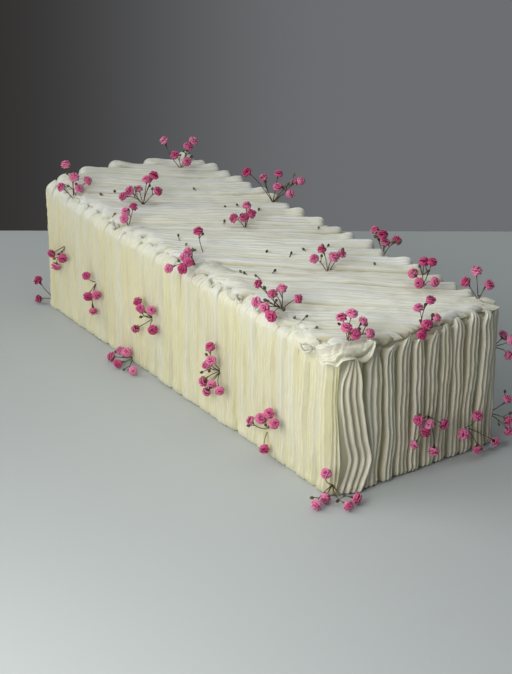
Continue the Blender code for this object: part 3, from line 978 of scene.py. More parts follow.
        # The depth that sets the painted shade in the cream: the section's own, the rounded ends, most of all
        # at the near lip whose front is in shade, and the deep gap's flanks.
        beside = sum((np.abs(edge - self.deep_gap) < MM)[:, None, None] * np.clip(inwards * across, 0, 1) ** 3
                     for edge, inwards in ((low, -1), (high, 1)))
        below = (0.3 + 1.2 * at_lip) * end_drop - depth + self.deep_gap_flank_shade * beside * self.deep_share(y)
        below = below / MM * smooth(from_start, 0.004, 0.012)
        uv = np.stack(np.broadcast_arrays(middle + across * half, along, below), axis=-1)
        return places, uv

    def build(self, finish: bpy.types.Material) -> bpy.types.Object:
        """Make the top's piece, dressed in this finish."""
        return put_strands("icing_top", finish, *self.rings())


@dataclass
class Crumb:
    """The plain body under the ribbons, which closes the gaps between them and is painted with a deep gap's
    shade.
    """

    loaf: Loaf
    inset: float = 0.0054
    top_gap: float = 0.0044
    around: int = 260
    # Painted shade: a depth past the deepest gap's, so the core takes its cream's full gap shade.
    depth: float = 5.0

    def build(self, finish: bpy.types.Material) -> bpy.types.Object:
        """Put rings of the loaf's outline, drawn in, from the base to just under the top ribbons.

        Args:
            finish: the piece's material.

        Returns:
            The piece.
        """
        distance = np.linspace(0, self.loaf.legs.sum(), self.around, endpoint=False)
        flat, normal = self.loaf.outline(distance)
        top = self.loaf.height - self.top_gap
        heights = np.array([0.0, 0.03, 0.06, top - 0.004, top - 0.001, top])[:, None]
        further = np.array([0.0, 0.0, 0.0, 0.0, 0.0012, 0.004])[:, None, None]
        rings = flat - normal * (self.inset + further)
        rise = self.loaf.heap(rings[..., 0], rings[..., 1]) * smooth(heights, 0.07, 0.1)
        rings = np.concatenate([rings, (heights + rise)[..., None]], axis=-1)[None]
        uv = np.stack([rings[..., 0], rings[..., 2], np.full(rings.shape[:3], self.depth)], axis=-1)
        return put_strands("icing_core", finish, rings, uv)


@dataclass(frozen=True)
class Stroke:
    """One freely laid ribbon, in millimetres.

    It has the knots of its line, half widths there, the directions in which its crest faces there, and how
    strong its ridges are.
    """

    knots: tuple
    widths: tuple
    faces: tuple
    relief: float = 1.0


RIM_STROKES = (
    Stroke(((157, -66.5, 96.8), (162, -64.5, 98.2), (166, -60, 99.2), (169, -54, 99.4), (170, -47, 99.2),
            (169, -40, 98.9), (166, -34, 98.4)), (2.4, 4.4, 5.6, 6.0, 5.6, 4.6, 2.4),
           ((0, -0.7, 1), (0.1, -0.4, 1), (0.1, -0.2, 1), (0.1, 0, 1), (0.1, 0, 1), UP, UP), 0.5),
    Stroke(((147.5, -69.5, 97), (150, -71.8, 95), (154.5, -72.6, 93.6), (159, -72, 95), (160.5, -70.5, 97.4),
            (157, -69.5, 98.8), (152, -69.5, 98.4), (149.5, -70.4, 96.8)),
           (0.5, 0.6, 0.7, 0.7, 0.6, 0.6, 0.5, 0.4),
           ((-1, -1, 0), (-0.5, -1, -0.5), (0, -1, -1), (0.7, -1, -0.4), (1, -1, 0.5), (0, -1, 1),
            (-0.6, -1, 0.8), (-1, -1, 0)), 0.5),
    Stroke(((5, -57, 98.6), (12, -55, 100.4), (22, -52, 101.5), (34, -48.5, 101.3), (47, -45, 99.8)),
           (3.4, 6.2, 7.0, 6.0, 2.6), ((0, -0.4, 1), (0, -0.2, 1), UP, UP, UP), 0.12),
    Stroke(((33, -60, 98.2), (41, -57, 99.8), (50, -53, 100.4), (61, -48, 99.6)),
           (3.0, 4.6, 4.6, 2.0), ((0, -0.5, 1), (0, -0.3, 1), UP, UP), 0.3),
    Stroke(((55, -61, 99), (59, -63.2, 98.2), (64, -64.5, 96.6), (69, -64, 96), (72, -62, 97.4)),
           (0.9, 1.4, 1.5, 1.3, 0.8),
           ((0, -0.6, 1), (0, -1, 0.6), (0, -1, 0.2), (0, -1, 0.2), (0, -1, 0.4)), 0.5),
    Stroke(((104, -60, 98.6), (112, -59.5, 99.9), (120, -58, 100.3), (128, -54, 99.4)),
           (3.0, 5.4, 5.8, 2.6), ((0, -0.3, 1), (0, -0.2, 1), (0, -0.1, 1), UP), 0.25),
    Stroke(((122, -54, 97.8), (130, -57.6, 98.2), (138, -61.5, 97.0), (144.5, -64.4, 93.8),
            (148.5, -65.5, 88), (150, -65.4, 82)), (3.0, 5.4, 6.4, 6.4, 5.2, 2.4),
           (UP, (0, -0.2, 1), (0.1, -0.6, 1), (0.1, -1, 0.7), (0, -1, 0.2), (0, -1, 0)), 0.12),
    Stroke(((168, -24, 99.2), (173.5, -21, 100.2), (177.5, -18, 99.4), (180, -15.5, 97.6)),
           (1.8, 2.6, 2.2, 0.8), (UP, (0.2, 0, 1), (0.7, 0, 1), (1, 0, 0.6)), 0.8),
    Stroke(((166, 10, 98.6), (171, 15, 99.6), (175, 19.5, 98.8), (176.5, 22.5, 96.4)),
           (1.6, 2.8, 2.2, 0.7), (UP, (0.2, 0, 1), (0.7, 0, 1), (1, 0, 0.4)), 0.9),
    Stroke(((158, 18, 99.0), (166, 27, 100.2), (173, 34, 99.8), (178, 38.5, 98.2)),
           (1.8, 3.4, 3.0, 0.7), (UP, (0.1, -0.1, 1), (0.3, -0.1, 1), (0.6, 0, 1)), 0.9),
    Stroke(((149, 27, 99.0), (158, 38, 100.4), (167, 47.5, 100.6), (175, 56, 100.2), (181.5, 62.6, 99.2)),
           (1.8, 3.6, 4.2, 3.2, 0.6),
           (UP, (0.1, -0.1, 1), (0.2, -0.2, 1), (0.3, -0.2, 1), (0.4, -0.2, 1)), 0.9),
    Stroke(((157, 49, 99.0), (164, 56, 101.0), (170, 61, 101.4), (175, 64.5, 100.2)),
           (1.6, 3.4, 3.2, 0.9), (UP, (0.1, -0.1, 1), (0.2, -0.1, 1), (0.4, 0, 1)), 1.0),
)


@dataclass
class LooseStrokes:
    """Ribbons that leave the rows: soft lumps and curls along the front rim, and strokes at the near end."""

    name: str
    strokes: tuple
    nozzle: Nozzle = field(default_factory=lambda: Nozzle(groove=0.0017, flank=0.0018, back=0.0050))
    rows: int = 60
    end_fade: float = 0.0015
    arch: float = 0.28
    lumpiness: float = 0.06
    lump_size: float = 0.008

    def rings(self) -> tuple[np.ndarray, np.ndarray]:
        """Rings of the strokes: the section stands square to a Catmull-Rom line, its crest to the given side.

        Returns:
            Rings (strokes, rows, sides, 3) and surface coordinates (strokes, rows, sides, 3).
        """
        across, depth, front = self.nozzle.section()
        places, uv = [], []
        for seed, stroke in enumerate(self.strokes):
            line = curve_through(np.array(stroke.knots, float) * MM, self.rows)
            face = curve_through(np.array(stroke.faces, float), self.rows)
            half = curve_through(np.array(stroke.widths, float)[:, None] * MM, self.rows)
            ahead = unit(np.gradient(line, axis=0))
            face = unit(face - (face * ahead).sum(-1, keepdims=True) * ahead)
            side = np.cross(ahead, face)
            step = np.concatenate([[0], np.cumsum(np.linalg.norm(np.diff(line, axis=0), axis=-1))])[:, None]
            fade = 1 - np.exp(-step / self.end_fade) * 0.9 - np.exp(-(step[-1] - step) / self.end_fade) * 0.9
            fade = np.clip(fade, 0.1, 1)
            arch = -self.arch * half * across ** 2
            lumps = self.lumpiness * half * ripples(across * half, step, self.lump_size, seed)
            back = depth * half / self.nozzle.back
            deep = np.where(front, arch + depth * stroke.relief + lumps, back) * fade
            wide = across * half * fade
            places.append(line[:, None] + side[:, None] * wide[..., None] + face[:, None] * deep[..., None])
            # The third coordinate is the depth below the crest, which sets the painted shade in the grooves.
            uv.append(np.stack(np.broadcast_arrays(wide, step, -depth / MM), axis=-1))
        return np.array(places), np.array(uv)

    def build(self, finish: bpy.types.Material) -> bpy.types.Object:
        """Make the piece, dressed in this finish."""
        return put_strands(self.name, finish, *self.rings())


def rim_lumps(loaf: Loaf, count: int = 12, curls: int = 7, seed: int = 41) -> tuple:
    """Soft lumps at random along the front rim, laid as the top's strokes run, and small curls between them.

    Args:
        loaf: the loaf that they sit on.
        count: how many lumps, less those where RIM_STROKES has its own.
        curls: how many curls.
        seed: for their places and sizes.

    Returns:
        The strokes.
    """
    draw = np.random.default_rng(seed)
    strokes = []
    for x in np.linspace(-170, 98, count) + draw.uniform(-5, 5, count):
        if 0 < x < 58:
            continue
        rise = float(loaf.heap(x * MM, -0.056)) / MM
        slant = float(loaf.slant(np.array(x * MM)))
        reach, fat = draw.uniform(13, 24), draw.uniform(3.6, 6.4)
        y, z = -60.6 + draw.uniform(-1.8, 1.8), 98.0 + rise + draw.uniform(-0.5, 0.5)
        knots = tuple((x + reach * t * math.sin(slant), y + reach * t * math.cos(slant), z + up)
                      for t, up in ((0, -0.8), (0.28, 1.2), (0.6, 1.5), (1, 0.4)))
        strokes.append(Stroke(knots, (0.5 * fat, fat, 0.95 * fat, 0.4 * fat),
                              ((0, -0.5, 1), (0, -0.3, 1), UP, UP), float(draw.uniform(0.05, 0.3))))
    for x in draw.uniform(-172, 118, curls):
        rise = float(loaf.heap(x * MM, -0.06)) / MM
        y, z = -61.5 + draw.uniform(-2, 1.5), 97.6 + rise
        turn, fat = draw.uniform(-1, 1), draw.uniform(0.8, 1.4)
        strokes.append(Stroke(
            ((x, y + 3, z + 1.6), (x + 2.5 * turn, y, z + 1.0), (x + 3 + 3 * turn, y - 2, z - 0.8),
             (x + 6 + turn, y - 2.2, z - 1.2), (x + 8, y - 0.4, z + 0.4)),
            (0.6 * fat, fat, fat, 0.9 * fat, 0.5 * fat),
            ((0, -0.3, 1), (0, -0.6, 1), (0, -1, 0.5), (0, -1, 0.5), (0, -0.8, 1)), 0.4))
    return tuple(strokes)


@dataclass
class Frill:
    """The ruffled ribbon round the near front corner: a thin overhanging hem, and ridges along its S-curves.

    The four guide lines run side by side from its left lobe to its right tip, in millimetres. Each valley
    between two of them has a depth, and a number of folds. The back's rows are each a guide's number, how
    far inwards, and how far up.
    """

    guides: tuple = (
        ((168.7, -71.0, 93.0), (173.3, -71.9, 92.1), (176.6, -71.1, 94.1), (179.6, -69.6, 94.6),
         (182.2, -67.8, 93.6), (183.3, -66.2, 95.5), (184.3, -64.4, 97.3), (185.8, -60.7, 97.8),
         (186.3, -55.7, 97.0), (186.3, -52.0, 94.4), (186.3, -48.4, 93.4), (185.9, -44.4, 95.5),
         (184.9, -40.9, 100.1), (183.0, -39.3, 103.2)),
        ((166.8, -69.6, 94.5), (172.1, -71.2, 94.6), (176.0, -70.7, 96.2), (178.5, -69.3, 96.5),
         (180.0, -67.7, 97.6), (180.4, -66.7, 99.7), (181.3, -65.1, 101.4), (182.9, -62.3, 102.0),
         (184.0, -58.2, 101.6), (184.0, -53.7, 100.2), (183.9, -49.8, 99.9), (183.5, -46.2, 100.8),
         (182.9, -42.9, 102.0), (181.9, -40.5, 103.0)),
        ((166.1, -69.7, 96.6), (170.5, -70.6, 98.2), (173.0, -69.7, 99.6), (174.4, -68.0, 100.8),
         (175.3, -66.0, 101.7), (176.0, -64.0, 102.4), (176.2, -61.3, 102.5), (176.7, -58.2, 102.4),
         (177.7, -54.9, 102.3), (179.0, -51.7, 102.2), (180.1, -48.8, 102.2), (180.4, -45.6, 102.4),
         (180.7, -42.7, 102.8), (180.9, -40.5, 103.2)),
        ((163.3, -67.7, 97.2), (165.2, -66.2, 98.6), (166.2, -64.3, 99.4), (166.7, -62.1, 99.8),
         (167.2, -59.9, 100.0), (167.3, -57.5, 100.0), (167.7, -54.9, 100.0), (168.5, -52.1, 100.0),
         (169.2, -49.0, 99.9), (170.2, -46.0, 99.9), (171.7, -43.3, 100.0), (173.4, -41.0, 100.3),
         (175.7, -39.3, 101.0), (178.4, -38.3, 102.2)))
    valleys: tuple = ((0.0036, 1), (0.0013, 3), (0.0009, 3))
    back: tuple = ((3, 0.0, -0.0050), (0, 0.0070, -0.0004), (0, 0.0030, 0.0002), (0, 0.0009, -0.0005))
    rows: int = 120
    columns: int = 15
    heart: tuple = (0.160, -0.048)
    outwards: tuple = (0.6, -0.3, 1.0)
    unevenness: float = 0.00016

    def build(self, finish: bpy.types.Material) -> bpy.types.Object:
        """Loft the guides, press a valley between each two of them, and close the back inside the cake.

        Across, the surface runs straight from guide to guide, less a depth times 1 - |cos(pi n t)|^0.7 along
        its normal for n folds, so that each guide stands as a sharp ridge.

        Args:
            finish: the piece's material.

        Returns:
            The piece.
        """
        guides = [curve_through(np.array(guide) * MM, self.rows) for guide in self.guides]
        t = np.linspace(0, 1, self.columns)[None, :, None]
        sheets, depths = [], []
        for first, second, (depth, number) in zip(guides, guides[1:], self.valleys):
            sheets.append(first[:, None] * (1 - t) + second[:, None] * t)
            valley = depth * (1 - np.abs(np.cos(np.pi * number * t[..., 0])) ** 0.7)
            depths.append(np.broadcast_to(valley, (self.rows, self.columns)))
        sheet, press = np.concatenate(sheets, axis=1), np.concatenate(depths, axis=1)
        keep = np.setdiff1d(np.arange(sheet.shape[1]), [self.columns, 2 * self.columns])
        sheet, press = sheet[:, keep], press[:, keep]
        normal = unit(np.cross(np.gradient(sheet, axis=1), np.gradient(sheet, axis=0)))
        normal = normal * np.sign((normal * self.outwards).sum(-1, keepdims=True))
        along = np.linspace(0, 1, self.rows)
        ends = np.sin(np.pi * along) ** 0.35 * (0.45 + 0.55 * smooth(along, 0.15, 0.40))
        uneven = self.unevenness * ripples(sheet[..., 0] + sheet[..., 1], sheet[..., 2], 0.006, 5)
        press = press * ends[:, None]
        sheet = sheet + normal * (uneven - press)[..., None]
        inwards = np.zeros_like(guides[0])
        inwards[:, :2] = unit(np.array(self.heart) - guides[0][:, :2])
        back = np.stack([guides[number] + inwards * inside + np.array(UP) * rise
                         for number, inside, rise in self.back], axis=1)
        rings = np.concatenate([sheet, back], axis=1)
        # The valleys' depth, which sets the painted shade in them.
        below = np.concatenate([press, np.zeros((self.rows, len(self.back)))], axis=1) / MM
        along = np.broadcast_to(along[:, None] * 0.06, rings.shape[:2])
        uv = np.stack([rings[..., 2], along, below], axis=-1)
        return put_strands("icing_frill", finish, rings[None], uv[None])


@dataclass(frozen=True)
class Sprig:
    """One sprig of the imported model: its foot, and each blossom's place from it, in whole millimetres.

    A top sprig's blossoms are given as (across, up, forward), seen from the near corner.
    A wall sprig's are (along the wall, up, out from the wall).
    """

    face: str
    foot: tuple
    blossoms: tuple


def numbered(kind: str, face: str, *rows: tuple) -> dict:
    """Sprigs of one kind on one side, numbered from 1: each row is a foot and its blossoms."""
    return {f"sprig_{kind}_{number}": Sprig(face, *row) for number, row in enumerate(rows, 1)}


SPRIGS = {
    **numbered("top", "top",
        ((-143, -60, 107), ((-5, 24, 0), (1, 15, 2), (10, 11, -2), (4, 6, 2), (-9, 7, 1))),
        ((-102, -27, 101), ((-9, 8, 2), (-3, 8, -2), (3, 15, -2), (8, 18, -3), (11, 8, 2), (-14, 5, 5))),
        ((-72, -58, 101), ((-1, 9, 2), (4, 11, -3), (-2, 5, 5))),
        ((-151, 37, 101), ((-12, 20, 2), (-4, 9, 4), (6, 14, -2), (10, 18, -3), (5, 6, 10))),
        ((-53, 54, 101), ((-19, 20, 0), (-7, 15, -2), (4, 18, -2), (3, 10, 3), (16, 12, -2), (20, 14, 2),
         (12, 5, 4))),
        ((-25, 10, 101), ((1, 13, -2), (4, 8, 1), (-8, 5, 2), (-1, 6, 3))),
        ((-2, -41, 101), ((-3, 12, 0),)),
        ((13, -57, 101), ((-7, 5, 6), (-5, 7, 2), (-4, 5, 14), (-8, 1, 16), (-17, 0, 13))),
        ((72, 9, 101), ((-9, 8, 2), (-4, 13, -2), (4, 9, 1), (9, 10, -2))),
        ((66, 61, 101), ((-6, 13, -5), (-1, 11, -1), (1, 5, -2), (9, 6, -4))),
        ((128, 43, 101), ((-6, 7, 1), (1, 14, -2), (6, 15, 1), (-3, 5, 12), (7, 5, 10))),
        ((166, 58, 101), ((-2, 16, -2), (-9, 10, 1), (6, 8, 1))),
        ((106, -53, 101), ((-15, 13, -2), (-6, 8, 2), (0, 10, -2), (10, 5, 3), (-16, 5, 8), (-11, 5, 16),
         (-7, 1, 20))),
        ((167, -48, 101), ((2, 17, 0), (-4, 13, -3), (-1, 9, 3), (4, 6, 6), (9, 11, -2), (13, 5, 2))),
        ((175, 3, 101), ((5, 17, -1), (-2, 11, -3), (9, 6, 1), (3, 3, 5), (-1, -2, 8)))),
    **numbered("end", "near",
        ((182, 8, 37), ((-15, 5, 6), (-8, 1, 8), (-8, -6, 5), (6, -4, 6), (-17, -12, 5), (-1, -21, 6))),
        ((182, 41, 19), ((-10, 2, 6), (2, 11, 5), (2, -12, 7), (19, -13, 5)))),
    **numbered("side", "front",
        ((-152, -68, 60), ((-7, -7, 6), (-3, -16, 5), (10, -5, 6))),
        ((-109, -68, 45), ((2, 8, 6), (5, -7, 7), (14, -3, 5), (8, -18, 5))),
        ((-29, -68, 46), ((-5, 13, 6), (2, 11, 8), (11, 12, 5), (-9, -9, 6), (12, -2, 5))),
        ((55, -68, 39), ((0, 20, 5), (4, 12, 7), (-3, 6, 6), (-7, -8, 6), (-5, -15, 5), (12, -7, 6),
         (6, -4, 8))),
        ((109, -68, 19), ((-7, 6, 6), (6, 13, 7), (12, 19, 5), (19, 15, 6), (7, -9, 5)))),
    **numbered("foot", "front",
        ((-60, -68, 3), ((-9, 1, 10), (3, 1, 12), (-5, 6, 5), (4, 8, 5), (19, 1, 9))),
        ((175, -68, 9), ((5, 13, 6), (7, -5, 14), (4, -5, 5), (19, -5, -1), (16, -4, -10)))),
    "sprig_foot_3": Sprig("far", (-182, -62, 6), ((-8, -2, 8), (-5, 11, 13), (6, 4, 6))),
    **numbered("back", "back",
        ((174, 68, 68), ((0, 6, 6), (6, -6, 6), (9, 6, 5))),
        ((176, 67, 21), ((8, 11, 5), (11, -11, 5), (8, -5, 7))),
        ((118, 68, 40), ((-8, 9, 6), (1, 12, 5), (7, 2, 7), (-3, -7, 5))),
        ((52, 68, 62), ((-9, 3, 5), (-1, 11, 6), (6, 3, 7), (2, -8, 5), (12, -6, 5))),
        ((-31, 68, 30), ((-10, 6, 6), (0, 11, 5), (8, 4, 6))),
        ((-108, 68, 55), ((-7, 9, 5), (3, 12, 7), (9, 0, 6), (-4, -7, 5)))),
    **numbered("far", "far",
        ((-182, 12, 58), ((-10, 5, 6), (-1, 12, 5), (7, 3, 7), (1, -8, 6))),
        ((-182, 44, 27), ((-6, 8, 6), (4, 10, 5), (9, -3, 6)))),
}

LOOSE_BUDS = ((45, -42), (49, -41), (58, -38), (55, -23), (24, -7), (37, 4), (38, 16), (126, -50),
              (122, -56), (141, -53), (41, 32), (112, 60), (-61, 18), (-59, 27), (-42, 33), (-29, -43),
              (-16, -46), (173, 4), (160, 62), (-40, 2), (-95, -56), (-128, -46), (-128, -35), (-5, -46),
              (86, 38), (10, 48), (-104, 20), (-140, 8))


@dataclass
class Sprigs:
    """All the sprigs: blossoms of many petals, thin bent stems that meet at a foot, and small closed buds.

    Each layer of petals is their number, how far they open in degrees, and their length in radii.
    """

    icing: BVHTree
    seed: int = 7
    blossom_radius: float = 0.0036
    blossom_variation: float = 0.10
    stem_radius: float = 0.00029
    knot_radius: float = 0.0011
    clearance: float = 0.0004
    turn: float = math.radians(55.0)
    above: float = 0.020
    root_depth: float = 0.0035
    stem_sway: float = 0.16
    stem_arch: float = 0.12
    stem_inside: float = 0.35
    bud_radius: tuple = (0.0008, 0.0012)
    bud_reach: tuple = (0.004, 0.0075)
    bud_arch: float = 0.0006
    loose_bud_radius: float = 0.0009
    loose_bud_reach: tuple = (0.0010, 0.0028)
    loose_bud_root: float = 0.002
    petals: tuple = ((7, 126.0, 0.94), (8, 94.0, 1.02), (6, 62.0, 1.02), (4, 32.0, 0.96), (1, 6.0, 0.86))
    petal_half_thickness: float = 0.035
    petal_rows: int = 3
    petal_columns: int = 4
    stem_rows: int = 10
    stem_sides: int = 6
    bud_rows: int = 6
    bud_sides: int = 7
    heads: list = field(default_factory=list)
    stems: list = field(default_factory=list)
    buds: list = field(default_factory=list)

    def held_off(self, point: Vector, radius: float) -> Vector:
        """Move a point out of the icing until a ball of this radius clears it and the floor, as the CAD does.

        Args:
            point: the ball's middle.
            radius: its radius.

        Returns:
            The place where it clears them.
        """
        need = radius + self.clearance
        for _ in range(12):
            nearest, normal, _, distance = self.icing.find_nearest(point)
            offset = point - nearest
            outside = offset.dot(normal) > 0
            if outside and distance >= need:
                break
            away = offset.normalized() if outside else normal
            point = nearest + away * (need + self.clearance / 10)
        point.z = max(point.z, need)
        return point

    def directions(self, face: str) -> tuple[Vector, Vector, Vector]:
        """Give the three directions in which a sprig's blossoms are measured from its foot.

        Args:
            face: the side that it lies on, or "top".

        Returns:
            Across, up, and forward or out.
        """
        if face == "top":
            across = Vector((math.cos(self.turn), math.sin(self.turn), 0))
            return across, Vector(UP), Vector((across.y, -across.x, 0))
        out = {"near": Vector((1, 0, 0)), "far": Vector((-1, 0, 0)), "front": Vector((0, -1, 0)),
               "back": Vector((0, 1, 0))}[face]
        return Vector((abs(out.y), abs(out.x), 0)), Vector(UP), out

    def plan(self) -> None:
        """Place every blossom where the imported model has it, bend a stem to it and hang buds beside it."""
        draw, own = np.random.default_rng(self.seed), np.random.default_rng(self.seed + 1)
        for sprig in SPRIGS.values():
            across, up, out = self.directions(sprig.face)
            off_face = up if sprig.face == "top" else out
            foot = Vector(sprig.foot) * MM
            nearest = self.icing.ray_cast(foot + off_face * self.above, -off_face)[0]
            foot = self.held_off(nearest + off_face * self.knot_radius, self.knot_radius)
            root = foot - off_face * self.root_depth
            for place in sprig.blossoms:
                radius = self.blossom_radius * (1 + self.blossom_variation * draw.uniform(-1, 1))
                reach = (across * place[0] + up * place[1] + out * place[2]) * MM
                centre = self.held_off(foot + reach, radius)
                reach = centre - foot
                sway = Vector(own.uniform(-1, 1, 3)) * self.stem_sway * reach.length
                bend = foot + reach * 0.5 + off_face * self.stem_arch * reach.length + sway
                self.heads.append((centre, radius, (reach + sway).normalized(), float(own.uniform())))
                end = centre - reach.normalized() * radius * self.stem_inside
                self.stems.append((root, bend, end, radius))
                for _ in range(int(own.integers(0, 3))):
                    share = float(own.uniform(0.35, 0.75))
                    fork = (root * (1 - share) ** 2 + bend * 2 * share * (1 - share) + centre * share ** 2)
                    aim = Vector(own.uniform(-1, 1, 3)) + off_face * 0.8 + reach.normalized() * 0.6
                    tip = fork + aim.normalized() * float(own.uniform(*self.bud_reach))
                    tip = self.held_off(tip, self.bud_radius[1])
                    self.add_bud(fork, tip, float(own.uniform(*self.bud_radius)))
        for x, y in LOOSE_BUDS:
            hit = self.icing.ray_cast(Vector((x * MM, y * MM, 0.13)), Vector((0, 0, -1)))[0]
            if hit is not None:
                lean = Vector((*own.uniform(-1, 1, 2), 0.9)).normalized()
                tip = hit + lean * float(own.uniform(*self.loose_bud_reach))
                self.add_bud(hit - lean * self.loose_bud_root, tip, self.loose_bud_radius)

    def add_bud(self, fork: Vector, tip: Vector, radius: float) -> None:
        """Note a small bud on its own short stem.

        Args:
            fork: where the stem leaves another, or the icing.
            tip: the bud's middle.
            radius: the bud's radius.
        """
        middle = (fork + tip) / 2 + Vector(UP) * self.bud_arch
        self.buds.append((tip, radius, (tip - fork).normalized()))
        self.stems.append((fork, middle, tip, radius))

    @staticmethod
    def frame_of(axis: Vector) -> np.ndarray:
        """A 3 x 3 turn that takes +Z to the axis."""
        return np.array(Vector(UP).rotation_difference(axis).to_matrix())

    def petal_grid(self, draw: np.random.Generator) -> tuple[np.ndarray, np.ndarray]:
        """The petals of one blossom of radius 1 that looks along +Z.

        A petal's middle line leaves the centre and bends outwards; it widens, then rounds off, cups a little
        and waves along its lip. Its back lies a small step behind its front.

        Args:
            draw: the generator for this blossom's unevenness.

        Returns:
            Points (petals, 2, rows, columns, 3) and the place along the petal for each.
        """
        count = sum(number for number, _, _ in self.petals)
        polar = np.concatenate([np.full(n, math.radians(angle)) for n, angle, _ in self.petals])
        size = np.concatenate([np.full(n, length) for n, _, length in self.petals])
        turn = np.concatenate([np.arange(n) * math.tau / n + draw.uniform(0, 6) for n, _, _ in self.petals])
        polar = (polar + draw.uniform(-0.16, 0.16, count))[:, None, None]
        size = (size * draw.uniform(0.84, 1.04, count))[:, None, None]
        turn = (turn + draw.uniform(-0.2, 0.2, count))[:, None, None]
        wide = 0.40 + 0.10 * np.sin(polar)
        p = np.linspace(0, 1, self.petal_rows)[None, :, None]
        q = np.linspace(-1, 1, self.petal_columns)[None, None, :]
        lean = polar * (0.45 + 0.55 * p)
        reach = size * (0.22 + 0.78 * p) * (1 - 0.10 * q ** 2 * p)
        spread = wide * np.sqrt(0.05 + p * (1.25 - 0.55 * p)) * q
        cup = 0.13 * q ** 2 * p + 0.07 * np.sin(3.1 * q + 9 * turn) * p ** 2
        radial = np.stack(np.broadcast_arrays(np.sin(lean) * np.cos(turn), np.sin(lean) * np.sin(turn),
                                              np.cos(lean)), axis=-1)
        round_ = np.stack(np.broadcast_arrays(-np.sin(turn), np.cos(turn), 0 * turn), axis=-1)
        inward = np.stack(np.broadcast_arrays(-np.cos(lean) * np.cos(turn), -np.cos(lean) * np.sin(turn),
                                              np.sin(lean)), axis=-1)
        sheet = radial * reach[..., None] + round_ * spread[..., None] + inward * (cup * size)[..., None]
        step = inward * self.petal_half_thickness
        sheets = np.stack([sheet + step, sheet - step], axis=1)
        return sheets, np.broadcast_to(p[:, None], sheets.shape[:-1])

    @staticmethod
    def slab_faces(rows: int, columns: int) -> np.ndarray:
        """Close a thin slab whose front and back are the same grid.

        Args:
            rows: the grid's rows.
            columns: its columns.

        Returns:
            (n, 4) corners of its faces: the front, the back and the rim between them.
        """
        grid = np.arange(rows * columns).reshape(rows, columns)
        front = np.stack([grid[:-1, :-1], grid[:-1, 1:], grid[1:, 1:], grid[1:, :-1]], axis=-1).reshape(-1, 4)
        back = front[:, ::-1] + rows * columns
        rim = np.concatenate([grid[0, :], grid[1:, -1], grid[-1, -2::-1], grid[-2:0:-1, 0]])
        ahead = np.roll(rim, -1)
        edge = np.stack([ahead, rim, rim + rows * columns, ahead + rows * columns], axis=1)
        return np.concatenate([front, back, edge])

    def build_blossoms(self, finish: bpy.types.Material) -> bpy.types.Object:
        """Put every blossom's petals, turned to look away from its foot, into one piece.

        Args:
            finish: the piece's material.

        Returns:
            The piece.
        """
        draw = np.random.default_rng(self.seed + 2)
        points, tints = [], []
        for centre, radius, axis, tint in self.heads:
            sheets, along = self.petal_grid(draw)
            points.append(sheets.reshape(-1, 3) * radius @ self.frame_of(axis).T + np.array(centre))
            tints.append(np.stack([np.full(along.size, tint), along.ravel()], axis=1))
        petals = len(self.heads) * sum(number for number, _, _ in self.petals)
        slab = self.slab_faces(self.petal_rows, self.petal_columns)
        corners = 2 * self.petal_rows * self.petal_columns
        quads = (slab[None] + (np.arange(petals) * corners)[:, None, None]).reshape(-1, 4)
        points, tints = np.concatenate(points), np.concatenate(tints)
        return put_mesh("blossoms", finish, points, quads, NO_TRIANGLES, tints)

    def build_stems(self, finish: bpy.types.Material) -> bpy.types.Object:
        """Put tubes on a parabola through each stem's bend, which flare into a cup at its head.

        Args:
            finish: the piece's material.

        Returns:
            The piece.
        """
        start, bend, end = (np.array([stem[i] for stem in self.stems])[:, None] for i in range(3))
        head = np.array([stem[3] for stem in self.stems])[:, None]
        t = np.linspace(0, 1, self.stem_rows)[None, :, None]
        line = start * (1 - t) ** 2 + bend * 2 * t * (1 - t) + end * t ** 2
        ahead = unit(np.gradient(line, axis=1))
        side = unit(np.cross(ahead, np.broadcast_to([0.31, 0.52, 0.79], ahead.shape)))
        other = np.cross(ahead, side)
        t = t[..., 0]
        radius = self.stem_radius * (1.15 - 0.4 * t) + 0.30 * head * smooth(t, 0.80, 1.0)
        turn = np.arange(self.stem_sides) * math.tau / self.stem_sides
        ring = (side[:, :, None] * np.cos(turn)[:, None] + other[:, :, None] * np.sin(turn)[:, None])
        return put_strands("stems", finish, line[:, :, None] + ring * radius[:, :, None, None])

    def build_buds(self, finish: bpy.types.Material) -> bpy.types.Object:
        """Put a drop for each bud: a ball of radius sin, drawn out to a blunt point along its stem.

        Args:
            finish: the piece's material.

        Returns:
            The piece.
        """
        polar = np.linspace(0.12, math.pi - 0.12, self.bud_rows)
        turn = np.arange(self.bud_sides) * math.tau / self.bud_sides
        wide = (np.sin(polar) * (1 + 0.25 * np.cos(polar)))[:, None]
        shape = np.stack(np.broadcast_arrays(wide * np.cos(turn), wide * np.sin(turn),
                                             -1.25 * np.cos(polar)[:, None]), axis=-1)
        rings = [shape * radius @ self.frame_of(axis).T + np.array(tip) for tip, radius, axis in self.buds]
        return put_strands("buds", finish, np.array(rings))


@dataclass(frozen=True)
class Lamp:
    """A square area light, which shines away from the direction at its back."""

    name: str
    place: Vector | tuple
    back: Vector | tuple
    size: float
    watts: float
    colour: tuple = (1.0, 0.99, 0.96)

    def hang(self) -> None:
        """Link the light to the scene."""
        data = bpy.data.lights.new(self.name, "AREA")
        data.shape, data.size, data.energy, data.color = "SQUARE", self.size, self.watts, self.colour
        lamp = bpy.data.objects.new(self.name, data)
        lamp.location = self.place
        lamp.visible_camera = False
        lamp.rotation_mode = "QUATERNION"
        lamp.rotation_quaternion = Vector(self.back).to_track_quat("Z", "Y")
        bpy.context.scene.collection.objects.link(lamp)


